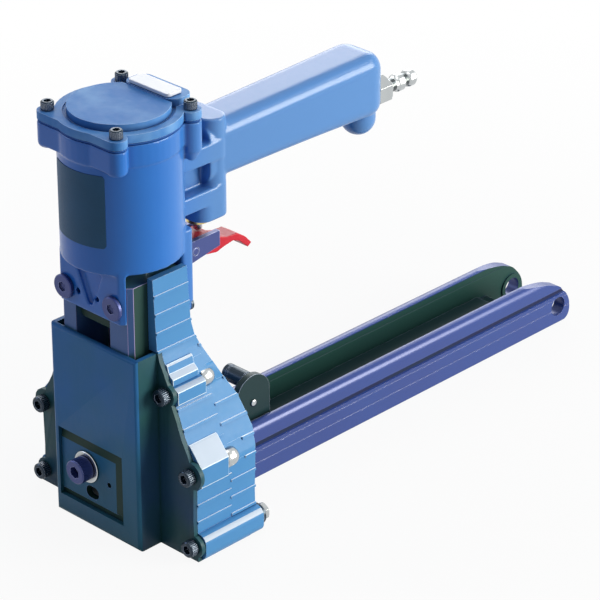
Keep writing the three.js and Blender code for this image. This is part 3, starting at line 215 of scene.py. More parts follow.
    def relief(self, tree: bpy.types.NodeTree, place: bpy.types.NodeSocket) -> bpy.types.NodeSocket:
        """Adds the fine pattern that the making left on the surface.

        Args:
            tree: the material's node tree.
            place: the socket with the point on the object, in metres.

        Returns:
            The socket with the pattern, about 0 to 1.
        """
        shares, detail = {
            Grain.CAST: ((1, 1, 1), 4.0),
            Grain.MOULDED: ((1, 1, 1), 2.0),
            Grain.PRESSED: ((1, 1, 0.35), 3.0),
            Grain.DRAWN: ((1, 0.004, 1), 2.0),
            Grain.TURNED: ((0.05, 1, 0.05), 1.0),
        }[self.grain]
        stretch = [per_metre(self.grain_mm) * share for share in shares]
        scaled = add_node(tree, "ShaderNodeMapping", {"Vector": place, "Scale": stretch})
        noise = add_node(tree, "ShaderNodeTexNoise", {
            "Vector": scaled.outputs["Vector"], "Scale": 1.0, "Detail": detail})
        return noise.outputs[0]


def per_metre(size_mm: float) -> float:
    """Gives the noise scale, in repeats per metre, of a pattern with features of size_mm."""
    return 1.0 / (size_mm * MM)


def linear(hex_colour: str) -> tuple[float, float, float, float]:
    """Turns an sRGB hex colour into linear RGBA.

    Args:
        hex_colour: the colour as "#RRGGBB".

    Returns:
        Four linear numbers, the last one 1.
    """
    values = [int(hex_colour[i:i + 2], 16) / 255 for i in (1, 3, 5)]
    bent = [v / 12.92 if v <= 0.04045 else ((v + 0.055) / 1.055) ** 2.4 for v in values]
    return (bent[0], bent[1], bent[2], 1.0)


def empty_tree(owner: bpy.types.Material | bpy.types.World) -> bpy.types.NodeTree:
    """Turns on the nodes of a material or world and empties them.

    Args:
        owner: the material or world.

    Returns:
        Its empty node tree.
    """
    owner.use_nodes = True
    owner.node_tree.nodes.clear()
    return owner.node_tree


def add_node(tree: bpy.types.NodeTree, kind: str, inputs: Optional[dict[object, object]] = None,
             **settings: object) -> bpy.types.Node:
    """Adds a node, sets its properties and fills its inputs with numbers or links.

    Args:
        tree: the node tree that gets the node.
        kind: Blender's name of the node type.
        inputs: input name or index to a value or to another node's output.
        settings: properties of the node itself.

    Returns:
        The new node.
    """
    node = tree.nodes.new(kind)
    for key, value in settings.items():
        setattr(node, key, value)
    for key, value in (inputs or {}).items():
        socket = node.inputs[key]
        if isinstance(value, bpy.types.NodeSocket):
            tree.links.new(value, socket)
        else:
            socket.default_value = value
    return node


def mix_colour(tree: bpy.types.NodeTree, share: bpy.types.NodeSocket, first: object, second: object
               ) -> bpy.types.NodeSocket:
    """Blends two colours, each a linear RGBA or a socket, and returns the blend's socket."""
    mixed = add_node(tree, "ShaderNodeMix", {0: share, 6: first, 7: second}, data_type="RGBA")
    return mixed.outputs[2]


def ramp(tree: bpy.types.NodeTree, value: bpy.types.NodeSocket, reads: tuple[float, float],
         gives: tuple[float, float]) -> bpy.types.NodeSocket:
    """Adds a straight ramp, level beyond both ends.

    Args:
        tree: the node tree that gets it.
        value: the socket that it reads.
        reads: the values at its two ends.
        gives: what it gives at these ends.

    Returns:
        The socket with the result.
    """
    return add_node(tree, "ShaderNodeMapRange", {
        "Value": value, "From Min": reads[0], "From Max": reads[1],
        "To Min": gives[0], "To Max": gives[1]}).outputs["Result"]


def seen_rays(tree: bpy.types.NodeTree) -> bpy.types.NodeSocket:
    """Adds a test for rays that the eye sees: straight, mirrored or through something clear.

    Args:
        tree: the node tree that gets it.

    Returns:
        The socket with 1 for such a ray, otherwise 0.
    """
    rays = add_node(tree, "ShaderNodeLightPath")
    seen = rays.outputs["Is Camera Ray"]
    for kind in ("Is Glossy Ray", "Is Transmission Ray"):
        seen = add_node(tree, "ShaderNodeMath", {0: seen, 1: rays.outputs[kind]}, operation="MAXIMUM").outputs[0]
    return seen


# Aluminium casting in stove enamel: glossy, a slight orange peel; painted shade: deeper blue in its corners; painted
# highlight: paler toward the handle and pale on its outward curves
ENAMEL = Finish("stove_enamelled_aluminium", "blue_enamel", "#1F69BC", "#1C60B2", 0.0, 0.34, Grain.CAST, 3.2,
                0.02, patch_mm=40, corner_shade_hex="#12357C", corner_shade_mm=8, edge_highlight_hex="#9CC4EE", edge_highlight_share=0.7,
                coat=0.4, coat_roughness=0.16, specular=0.12, painted_light_hex="#4B7AB4")
# The same enamel on the side castings as a paler, lit copy: painted light where they face the key lamp, a painted
# highlight on every edge and painted shade close in its corners
CASTING_ENAMEL_LIT = replace(ENAMEL, name="casting_enamel_painted_light", base="#4A84B8", shade="#427DB4",
                        edge_highlight_hex="#DCECF8", edge_highlight_share=0.95, corner_shade_hex="#1C4C92", corner_shade_mm=1.2, coat=0.0,
                        roughness=0.4, specular=0.15, painted_light_hex=None)
# Painted highlight on its ribs' upward and end faces
RIB_HIGHLIGHT = replace(CASTING_ENAMEL_LIT, name="rib_painted_highlight", base="#DCEBFA", shade="#E8F3FC", corner_shade_hex=None)
# Painted highlight on the slanted faces of the bosses and the foot, which look up and outward
FACET_HIGHLIGHT = replace(CASTING_ENAMEL_LIT, name="boss_facet_painted_highlight", base="#B2C0D2", shade="#C0CCDC", corner_shade_hex=None,
                 roughness=0.5, specular=0.2)
# The cap's enamel is rubbed matt, so it reads greyer; painted shade in its corners, painted highlight on its edges
CAP_ENAMEL = Finish("rubbed_enamelled_cap", "blue_enamel", "#3673B6", "#7AA8D6", 0.0, 0.55, Grain.CAST, 3.0,
                    0.02, patch_mm=22, patch_share=0.6, corner_shade_hex="#17407F", corner_shade_mm=4, edge_highlight_hex="#C8DEF4",
                    edge_highlight_share=0.85, specular=0.22)
# Pressed steel sheet, plated dark: a flat blue-black with greener clouds; painted shade darker and greener toward the
# bottom and in its corners, painted highlight on its edges
PLATED_SHEET = Finish("dark_plated_steel_sheet", "dark_plate", "#2C68A2", "#2B6888", 0.0, 0.42, Grain.PRESSED, 1.6,
                      0.012, patch_mm=55, patch_share=0.8, corner_shade_hex="#1E4640", corner_shade_mm=9,
                      edge_highlight_hex="#8FA5D8", edge_highlight_share=0.7, specular=0.16, painted_light_hex="#245866", painted_light_axis="Z",
                      painted_light_from=80, painted_light_to=-15)
# Painted shade: the same plating, greener and nearly black, down the cover's sides and flanges
COVER_SIDE_SHADE = replace(PLATED_SHEET, name="cover_side_painted_shade", base="#264E50", shade="#254468", corner_shade_mm=4,
                 painted_light_hex=None)
# Drawn aluminium rail, anodised blue-violet: fine lines along its length; painted shade in its corners, painted
# highlight on its edges
ANODISED = Finish("anodised_drawn_aluminium", "rail_alloy", "#243E82", "#2A387A", 0.1, 0.3, Grain.DRAWN, 0.8,
                  0.0003, patch_mm=60, corner_shade_hex="#263650", corner_shade_mm=1.5, edge_highlight_hex="#BDBCDC", edge_highlight_share=0.8,
                  rough_spread=0.03, specular=0.5)
# Painted shade: the same rail inside its channel, a dull green-black
RAIL_INSIDE_SHADE = replace(ANODISED, name="rail_inside_painted_shade", base="#1F413D", shade="#1D3A3C", roughness=0.5,
                  metallic=0.0, specular=0.15)
# Painted shade in the long groove under the rail's bead
UNDER_BEAD_SHADE = replace(RAIL_INSIDE_SHADE, name="under_bead_painted_shade", base="#1C2248", shade="#1A2E3A")
# Painted shade: dark green steel for the yoke deep in the guide's window and for the sheet round the depth plate's pad
WINDOW_SHADE = replace(RAIL_INSIDE_SHADE, name="window_painted_shade", slot="black_oxide", base="#1D3830", shade="#182E2A",
                  edge_highlight_hex="#2C4A44")
# Machined aluminium block, black anodised: it reads violet on its faces; painted shade green-black in its corners,
# painted highlight on its edges
BLACK_BLOCK = Finish("black_anodised_block", "black_alloy", "#3C5E92", "#365482", 0.1, 0.36, Grain.PRESSED, 1.2,
                     0.012, corner_shade_hex="#3F6A54", corner_shade_mm=12, edge_highlight_hex="#B3A2D2", edge_highlight_share=0.9, specular=0.3)
# Painted shade: the same block's sides in green-black
GUIDE_SIDE_SHADE = replace(BLACK_BLOCK, name="guide_side_painted_shade", base="#27443F", shade="#233C3C", metallic=0.0,
                      specular=0.15, corner_shade_hex=None)
# Blackened steel: dark, with a faint green; painted highlight on its edges, painted shade in its corners
BLACK_STEEL = Finish("black_oxide_steel", "black_oxide", "#1D2F40", "#1A3338", 0.4, 0.28, Grain.TURNED, 0.9,
                     0.006, corner_shade_hex="#0E1A1E", corner_shade_mm=3, edge_highlight_hex="#B4BED4", edge_highlight_share=0.85, specular=0.4)
# The same on flat plates: an even rolled surface, greener
BLACK_PLATE = replace(BLACK_STEEL, name="black_oxide_plate", base="#152F32", shade="#12292E", metallic=0.1,
                      grain=Grain.PRESSED, roughness=0.4, specular=0.22)
# Blued steel of the low heads and the bracket: violet-blue satin, with painted shade in its corners and a painted
# highlight on its edges
BLUED_STEEL = Finish("blued_steel", "black_oxide", "#36437E", "#2F3B70", 0.3, 0.36, Grain.PRESSED, 1.1, 0.01,
                     corner_shade_hex="#182644", corner_shade_mm=3, edge_highlight_hex="#AEB6DE", edge_highlight_share=0.7)
# Ground bright steel of pins, nuts and stems
BRIGHT_STEEL = Finish("ground_bright_steel", "bright_steel", "#C4C8CE", "#A9AEB8", 1.0, 0.24, Grain.TURNED, 0.7,
                      0.008)
# Nickel plate over brass on the air plug, with painted shade in its hollows
NICKEL = Finish("nickel_plated_brass", "nickel", "#C2C6C7", "#A4AAAD", 1.0, 0.2, Grain.TURNED, 0.8, 0.001,
                corner_shade_hex="#20262A", corner_shade_mm=5, corner_shade_from=0.95, rough_spread=0.03)
# Painted shade in the plug's grooves
PLUG_GROOVE_SHADE = replace(NICKEL, name="plug_groove_painted_shade", base="#5C6264", shade="#3C4142")
# Plain brass of the valve bush
BRASS = Finish("turned_brass", "brass", "#D2BF86", "#B9A263", 1.0, 0.26, Grain.TURNED, 0.7, 0.008)
# Anodised pale sheet of the exhaust deflector, with painted shade in its corners
PALE_SHEET = Finish("pale_anodised_sheet", "pale_metal", "#D6D8DE", "#C0C5CF", 0.1, 0.45, Grain.PRESSED, 1.2,
                    0.01, corner_shade_hex="#7F93B4", corner_shade_mm=2)
# Raw cast aluminium inside the cylinder
RAW_CASTING = Finish("raw_cast_aluminium", "cast_aluminium", "#A9ADB0", "#8F9498", 0.9, 0.5, Grain.CAST, 1.4,
                     0.04)
# Moulded nitrile rubber
RUBBER = Finish("moulded_nitrile_rubber", "rubber", "#17191C", "#202328", 0.0, 0.75, Grain.MOULDED, 1.0, 0.02)
# Red enamel on the die-cast trigger, half matt from the finger; painted highlight, slightly orange, on its curved
# edges; painted shade in its hollows
RED_ENAMEL = Finish("red_enamelled_zinc", "red_paint", "#B81029", "#A00E22", 0.0, 0.42, Grain.CAST, 2.0, 0.01,
                    corner_shade_hex="#5C0818", corner_shade_mm=4, edge_highlight_hex="#F04A3A", edge_highlight_share=0.6, specular=0.3)
# Fibre gasket with the enamel's overspray on its edge
FIBRE = Finish("oversprayed_fibre_gasket", "rubber", "#27579F", "#1F4A8C", 0.0, 0.6, Grain.MOULDED, 0.9, 0.02,
               specular=0.2)
# Bare dark foil plate on the barrel
FOIL = Finish("dark_satin_foil", "dark_plate", "#26506F", "#224862", 0.0, 0.5, Grain.MOULDED, 1.2, 0.006,
              patch_mm=18, patch_share=0.5, specular=0.2)


# Shapes


class Facing(Enum):
    """Which way a turned piece's own Z points."""

    UP = "up"
    FORWARD = "forward"
    BACK = "back"
    RIGHT = "right"

    def matrix(self) -> Matrix:
        """Gives the turn from local Z to this direction."""
        return {
            Facing.UP: Matrix.Identity(4),
            Facing.FORWARD: Matrix.Rotation(math.pi / 2, 4, "X"),
            Facing.BACK: Matrix.Rotation(-math.pi / 2, 4, "X"),
            Facing.RIGHT: Matrix.Rotation(math.pi / 2, 4, "Y"),
        }[self]


class Shape:
    """Points and faces in millimetres, measured from the foot of the cylinder's axis."""

    def __init__(self, points: Sequence[Vector] = (), faces: Sequence[Sequence[int]] = ()) -> None:
        """Keeps copies of the points and faces."""
        self.points = [Vector(p) for p in points]
        self.faces = [tuple(f) for f in faces]

    def add(self, other: "Shape") -> "Shape":
        """Joins another shape to this one.

        Args:
            other: the shape to take in.

        Returns:
            This shape.
        """
        base = len(self.points)
        self.points += [Vector(p) for p in other.points]
        self.faces += [tuple(i + base for i in face) for face in other.faces]
        return self

    def moved(self, turn: Matrix, x: float, y: float, z: float) -> "Shape":
        """Returns a copy, turned and then moved."""
        shift = Vector((x, y, z))
        return Shape([turn @ p + shift for p in self.points], self.faces)

    def mirrored(self) -> "Shape":
        """Returns the copy on the other side of the X plane."""
        return Shape([Vector((-p.x, p.y, p.z)) for p in self.points], [f[::-1] for f in self.faces])

    def on_side(self, side: str) -> "Shape":
        """Returns the shape as it is for the right side, and mirrored for the left one."""
        return self if side == "right" else self.mirrored()

    def to_object(self, name: str) -> bpy.types.Object:
        """Makes a Blender object, still in millimetres, with its faces turned outward.

        Args:
            name: the object's name.

        Returns:
            The object, linked to the scene.
        """
        mesh = bpy.data.meshes.new(name)
        mesh.from_pydata(self.points, [], self.faces)
        with edited(mesh) as grown:
            bmesh.ops.remove_doubles(grown, verts=grown.verts, dist=1e-5)
            bmesh.ops.recalc_face_normals(grown, faces=grown.faces)
        return linked(name, mesh)


def linked(name: str, data: bpy.types.ID) -> bpy.types.Object:
    """Makes an object and links it to the scene.

    Args:
        name: the object's name.
        data: its mesh, lamp or camera.

    Returns:
        The object.
    """
    made = bpy.data.objects.new(name, data)
    bpy.context.collection.objects.link(made)
    return made


@contextmanager
def edited(mesh: bpy.types.Mesh) -> Iterator[bmesh.types.BMesh]:
    """Opens a mesh for editing and writes the result back.

    Args:
        mesh: the mesh.

    Yields:
        Its editable copy.
    """
    grown = bmesh.new()
    grown.from_mesh(mesh)
    yield grown
    grown.to_mesh(mesh)
    grown.free()


def circle(radius: float, z: float, count: int = ROUND, teeth: int = 0, tooth: float = 0.0) -> Ring:
    """Gives a ring of points around Z.

    Args:
        radius: the ring's radius.
        z: its height.
        count: how many points.
        teeth: how many knurls go round, if any.
        tooth: how far each knurl dips.

    Returns:
        The points in order.
    """
    ring = []
    for i in range(count):
        turn = 2 * math.pi * i / count
        r = radius - (tooth * (0.5 - 0.5 * math.cos(teeth * turn)) if teeth else 0.0)
        ring.append(Vector((r * math.cos(turn), r * math.sin(turn), z)))
    return ring


def hexagon(flats: float, z: float, count: int = ROUND, corner: float = 1.0) -> Ring:
    """Gives a hexagonal ring, whose corners may be cut back.

    Args:
        flats: the width across flats.
        z: its height.
        count: how many points.
        corner: the corner's radius as a share of the sharp one.

    Returns:
        The points in order.
    """
    ring = []
    sharp = flats / 2 / math.cos(math.pi / 6)
    for i in range(count):
        turn = 2 * math.pi * i / count
        within = (turn + math.pi / 6) % (math.pi / 3) - math.pi / 6
        r = min(flats / 2 / math.cos(within), sharp * corner)
        ring.append(Vector((r * math.cos(turn), r * math.sin(turn), z)))
    return ring


def resampled(ring: Ring, count: int) -> Ring:
    """Gives a ring another number of points.

    Args:
        ring: the ring.
        count: how many points it gets.

    Returns:
        The points, evenly by index.
    """
    total = len(ring)
    points = []
    for i in range(count):
        spot = i * total / count
        a, b = ring[int(spot) % total], ring[(int(spot) + 1) % total]
        points.append(a.lerp(b, spot - int(spot)))
    return points


def box_ring(half: float, top: float, bottom: float, y: float, radius: float, steps: int = 14) -> Ring:
    """Gives a rounded rectangle across Y.

    Args:
        half: how far it reaches to each side.
        top: its highest level.
        bottom: its lowest level.
        y: its place along Y.
        radius: the radius of its corners.
        steps: how many stretches round each corner.

    Returns:
        The points in order.
    """
    ring = []
    for corner in range(4):
        x = (half - radius) * (1 if corner in (0, 3) else -1)
        z = top - radius if corner < 2 else bottom + radius
        for i in range(steps + 1):
            turn = math.pi / 2 * (corner + i / steps)
            ring.append(Vector((x + radius * math.cos(turn), y, z + radius * math.sin(turn))))
    return ring


def loft(rings: Sequence[Ring], closed: bool = False) -> Shape:
    """Joins rings of equal count with four-cornered faces.

    Args:
        rings: the rings in order.
        closed: True joins the last ring to the first; otherwise both ends get a face.

    Returns:
        The closed shape.
    """
    count = len(rings[0])
    shape = Shape([p for ring in rings for p in ring])
    for r in range(len(rings) if closed else len(rings) - 1):
        low, high = r * count, (r + 1) % len(rings) * count
        for i in range(count):
            j = (i + 1) % count
            shape.faces.append((low + i, low + j, high + j, high + i))
    if not closed:
        last = (len(rings) - 1) * count
        shape.faces.append(tuple(range(count))[::-1])
        shape.faces.append(tuple(range(last, last + count)))
    return shape


def lathe(profile: Profile, count: int = 64, bored: bool = False) -> Shape:
    """Turns a profile of (radius, height) around Z.

    Args:
        profile: the points in order.
        count: how many points go round.
        bored: True if the profile is a closed loop off the axis.

    Returns:
        The closed shape.
    """
    return loft([circle(max(r, 0.02), z, count) for r, z in profile], closed=bored)


def sheet_prism(outline: Profile, axis: str, start: float, end: float) -> Shape:
    """Pushes a flat outline along an axis.

    Args:
        outline: corners on the two other axes, in X, Y, Z order.
        axis: "x", "y" or "z".
        start: where it begins along the axis.
        end: where it ends.

    Returns:
        The closed shape.
    """
    def point(a: float, b: float, along: float) -> Vector:
        """Places one corner."""
        return Vector({"x": (along, a, b), "y": (a, along, b), "z": (a, b, along)}[axis])

    return loft([[point(a, b, start) for a, b in outline], [point(a, b, end) for a, b in outline]])


def rounded_outline(x0: float, x1: float, y0: float, y1: float, radius: float, steps: int = 14) -> Profile:
    """Gives the corners of a rounded rectangle."""
    flat = box_ring((x1 - x0) / 2, y1, y0, 0.0, radius, steps)
    return [(p.x + (x0 + x1) / 2, p.z) for p in flat]


def smooth_path(points: Profile, steps: int = 4) -> Profile:
    """Rounds a run of points with a curve that goes through each.

    Args:
        points: the run's points.
        steps: how many stretches stand for each one.

    Returns:
        The finer run.
    """
    finer = []
    for i in range(len(points) - 1):
        a, b = points[max(i - 1, 0)], points[i]
        c, d = points[i + 1], points[min(i + 2, len(points) - 1)]
        for s in range(steps):
            t = s / steps
            finer.append(tuple(0.5 * (2 * b[k] + (c[k] - a[k]) * t + (2 * a[k] - 5 * b[k] + 4 * c[k] - d[k]) * t * t
                                      + (3 * b[k] - a[k] - 3 * c[k] + d[k]) * t ** 3) for k in (0, 1)))
    return finer + [points[-1]]


def along(line: Profile, spot: float) -> float:
    """Reads a run of (place, value) points at a spot.

    Args:
        line: the run, in rising order of place.
        spot: where it is read.

    Returns:
        The value there, which stays level beyond both ends.
    """
    for (a, low), (b, high) in zip(line, line[1:]):
        if a <= spot <= b:
            return low + (high - low) * (spot - a) / (b - a)
    return line[0][1] if spot < line[0][0] else line[-1][1]


def node_box(node: str) -> tuple[Vector, Vector, Vector, Vector]:
    """Measures a CAD node from the foot of the cylinder's axis.

    Args:
        node: the CAD node.

    Returns:
        Its lowest and highest corner, its middle and its size, in millimetres.
    """
    low, high = (Vector(corner) / MM - AXIS_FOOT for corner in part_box(node))
    return low, high, (low + high) / 2, high - low


def node_copy(node: str, name: str, flat: float = 0.6) -> bpy.types.Object:
    """Copies a CAD node's mesh in millimetres, welded and with its flat triangles joined.

    Args:
        node: the CAD node.
        name: the copy's name.
        flat: the angle in degrees under which two faces count as one.

    Returns:
        The copy, linked to the scene.
    """
    mesh = bpy.data.meshes.new(name)
    with edited(mesh) as grown:
        grown.from_mesh(frame["nodes"][node].data)
        for vert in grown.verts:
            vert.co = vert.co / MM - AXIS_FOOT
        bmesh.ops.remove_doubles(grown, verts=grown.verts, dist=1e-3)
        bmesh.ops.dissolve_limit(grown, angle_limit=math.radians(flat), verts=grown.verts, edges=grown.edges)
    return linked(name, mesh)


def bake(piece: bpy.types.Object) -> None:
    """Turns a piece's modifiers into its mesh.

    Args:
        piece: the piece that keeps the result.
    """
    graph = bpy.context.evaluated_depsgraph_get()
    shown = bpy.data.meshes.new_from_object(piece.evaluated_get(graph))
    old = piece.data
    piece.modifiers.clear()
    piece.data = shown
    bpy.data.meshes.remove(old)


def merge(piece: bpy.types.Object, *others: bpy.types.Object) -> None:
    """Takes other meshes into a piece as they are.

    Args:
        piece: the piece that grows.
        others: the meshes that it takes in; they are removed.
    """
    with edited(piece.data) as grown:
        for other in others:
            grown.from_mesh(other.data)
    for other in others:
        bpy.data.meshes.remove(other.data)


def soften(piece: bpy.types.Object, voxel: float, passes: int, keep: float) -> None:
    """Makes a casting's edges and corners flow into each other.

    Args:
        piece: the piece in millimetres.
        voxel: the grid in millimetres.
        passes: how many rounds of smoothing.
        keep: the share of faces that stay.
    """
    grid = piece.modifiers.new("grid", "REMESH")
    grid.mode = "VOXEL"
    grid.voxel_size = voxel
    ease = piece.modifiers.new("ease", "SMOOTH")
    ease.factor = 0.5
    ease.iterations = passes
    fewer = piece.modifiers.new("fewer", "DECIMATE")
    fewer.ratio = keep
    bake(piece)
    piece.data.shade_smooth()


def round_edges(piece: bpy.types.Object, width: float, segments: int = 2, angle: float = 32.0) -> None:
    """Rounds a piece's sharp edges and keeps its flats flat.

    Args:
        piece: the piece in millimetres.
        width: how far the rounding reaches from each edge.
        segments: how many faces go round it.
        angle: edges that bend less than this stay as they are, in degrees.
    """
    piece.data.materials.clear()
    piece.data.materials.append(None)
    piece.data.materials.append(None)
    bevel = piece.modifiers.new("round", "BEVEL")
    bevel.material = 1
    bevel.width = width
    bevel.segments = segments
    bevel.limit_method = "ANGLE"
    bevel.angle_limit = math.radians(angle)
    bevel.miter_outer = "MITER_ARC"
    bake(piece)
    piece.data.shade_smooth()
    even_normals(piece)


def even_normals(piece: bpy.types.Object) -> None:
    """Bends the normals at each corner toward its larger faces, so that flats look flat.

    Args:
        piece: the piece, with its roundings done.
    """
    even = piece.modifiers.new("even", "WEIGHTED_NORMAL")
    even.keep_sharp = False
    even.weight = 90
    bake(piece)


def bend_edges(piece: bpy.types.Object, radius: float, chosen: Callable[[bmesh.types.BMEdge], bool]) -> None:
    """Gives chosen edges of a pressed sheet a true bend.

    Args:
        piece: the piece in millimetres.
        radius: the bend's radius.
        chosen: says which edges bend.
    """
    with edited(piece.data) as grown:
        edges = [edge for edge in grown.edges if chosen(edge)]
        bmesh.ops.bevel(grown, geom=edges, offset=radius, segments=6, profile=0.5, affect="EDGES",
                        clamp_overlap=True)


def carve(piece: bpy.types.Object, tool: Shape, keep_inside: bool = False, join: bool = False) -> None:
    """Cuts a shape from a piece, keeps only what both share, or joins them.

    Args:
        piece: the piece in millimetres.
        tool: the shape that works on it.
        keep_inside: True keeps the shared part.
        join: True adds the shape.
    """
    other = tool.to_object("tool")
    work = piece.modifiers.new("carve", "BOOLEAN")
    work.operation = "UNION" if join else "INTERSECT" if keep_inside else "DIFFERENCE"
    work.solver = "EXACT"
    work.object = other
    bake(piece)
    bpy.data.meshes.remove(other.data)


@dataclass
class Assembly:
    """Shared ways of handing a finished piece to the frame."""

    def hand_over(self, piece: bpy.types.Object, finish: Finish, nodes: Sequence[str],
                  body: Optional[str] = None, highlight_spot: EdgeHighlightSpot = EdgeHighlightSpot.ROUNDINGS) -> bpy.types.Object:
        """Scales a piece to metres, dresses it and ties it to the frame.

        Args:
            piece: the piece in millimetres.
            finish: its finish.
            nodes: the CAD nodes it stands for, if any.
            body: the body it rides on; without it, the first node's body.
            highlight_spot: where its finish gets the painted edge highlight.

        Returns:
            The piece.
        """
        piece.data.transform(Matrix.Translation(AXIS_FOOT * MM) @ Matrix.Scale(MM, 4))
        piece.data.update()
        # the rounded edges take the finish with the painted edge highlight
        if len(piece.data.materials) == 2:
            piece.data.materials[0] = finish.material(highlight_spot)
            piece.data.materials[1] = finish.painted_edge_highlight().material(highlight_spot)
        else:
            piece.data.materials.clear()
            piece.data.materials.append(finish.material(highlight_spot))
        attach(piece, body or BODY_OF[nodes[0]])
        if nodes:
            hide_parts(*nodes)
        log.info("%s: %d faces, %s", piece.name, len(piece.data.polygons), finish.name)
        return piece

    def rounded(self, node: str, finish: Finish, width: float, segments: int = 2) -> bpy.types.Object:
        """Copies a CAD node, rounds its edges and dresses it.

        Args:
            node: the CAD node.
            finish: its finish.
            width: how far the rounding reaches from each edge.
            segments: how many faces go round it.

        Returns:
            The dressed copy.
        """
        piece = node_copy(node, f"{node}_finished")
        round_edges(piece, width, segments)
        return self.hand_over(piece, finish, [node])

    def turned(self, node: str, shape: Shape, finish: Finish, width: float, segments: int = 1,
               angle: float = 40.0) -> bpy.types.Object:
        """Puts a turned shape in the place of its CAD node.

        Args:
            node: the CAD node.
            shape: the shape in millimetres.
            finish: its finish.
            width: how far the rounding reaches from each edge.
            segments: how many faces go round it.
            angle: edges that bend less than this stay as they are, in degrees.

        Returns:
            The dressed piece.
        """
        piece = shape.to_object(f"{node}_turned")
        round_edges(piece, width, segments, angle)
        return self.hand_over(piece, finish, [node])

    def paint(self, piece: bpy.types.Object, finish: Finish, chosen: Callable[[Vector, Vector, float], bool],
              edges_too: bool = False) -> None:
        """Gives some faces of a dressed piece another finish.

        Args:
            piece: the piece, already handed over.
            finish: the other finish.
            chosen: says by a face's middle in millimetres, its normal and its height whether it takes part.
            edges_too: True includes the rounded edges.
        """
        piece.data.materials.append(finish.material(EdgeHighlightSpot.ROUNDINGS))
        last = len(piece.data.materials) - 1
        points = piece.data.vertices
        for face in piece.data.polygons:
            if face.material_index == 1 and not edges_too:
                continue
            levels = [points[i].co.z / MM for i in face.vertices]
            middle = face.center / MM - AXIS_FOOT
            if chosen(middle, face.normal, max(levels) - min(levels)):
                face.material_index = last

    def keep(self, finish: Finish, *nodes: str) -> None:
        """Gives CAD nodes that stay a finish of their own.

        Args:
            finish: the finish.
            nodes: the CAD nodes.
        """
        for node in nodes:
            carried = frame["nodes"][node]
            carried.data.materials.clear()
            carried.data.materials.append(finish.material(EdgeHighlightSpot.ROUNDINGS))
            log.info("%s: kept, %s", node, finish.name)


BODY_OF = {node: body for body, nodes in frame["record"]["behaviour"]["bodies"].items() for node in nodes}


@dataclass
class SocketScrew(Assembly):
    """A socket screw whose place and size come from its CAD node."""

    node: str = ""
    facing: Facing = Facing.UP
    head_height: float = 5.4
    shank: float = 2.4
    finish: Finish = BLACK_STEEL
    knurls: int = 0
    knurl_depth: float = 0.22
    socket_share: float = 0.56

    def build(self) -> None:
        """Builds the screw with its chamfers, knurls and hexagon socket."""
        low, high, middle, size = node_box(self.node)
        if self.facing is Facing.UP:
            length, place = size.z, (middle.x, middle.y, high.z)
        else:
            length, place = size.y, (middle.x, low.y if self.facing is Facing.FORWARD else high.y, middle.z)
        count = self.knurls * 4 if self.knurls else ROUND
        radius, tall, tooth = size.x / 2, self.head_height, self.knurl_depth
        across = radius * self.socket_share * 2 * math.cos(math.pi / 6)
        chamfer = min(0.7, tall * 0.2)
        rings = [
            circle(self.shank * 0.8, -length, count), circle(self.shank, -length + 0.5, count),
            circle(self.shank, -tall, count), circle(radius - 0.3, -tall, count),
            circle(radius, -tall + 0.3, count, self.knurls, tooth),
            circle(radius, -chamfer - 0.15, count, self.knurls, tooth), circle(radius - 0.1, -chamfer, count),
            circle(radius - chamfer, -0.12, count), circle(radius - chamfer - 0.25, 0, count),
            hexagon(across + 0.5, 0, count), hexagon(across, -0.35, count),
            hexagon(across, -tall * 0.55, count), circle(0.3, -tall * 0.7, count),
        ]
        self.turned(self.node, loft(rings).moved(self.facing.matrix(), *place), self.finish, 0.06)


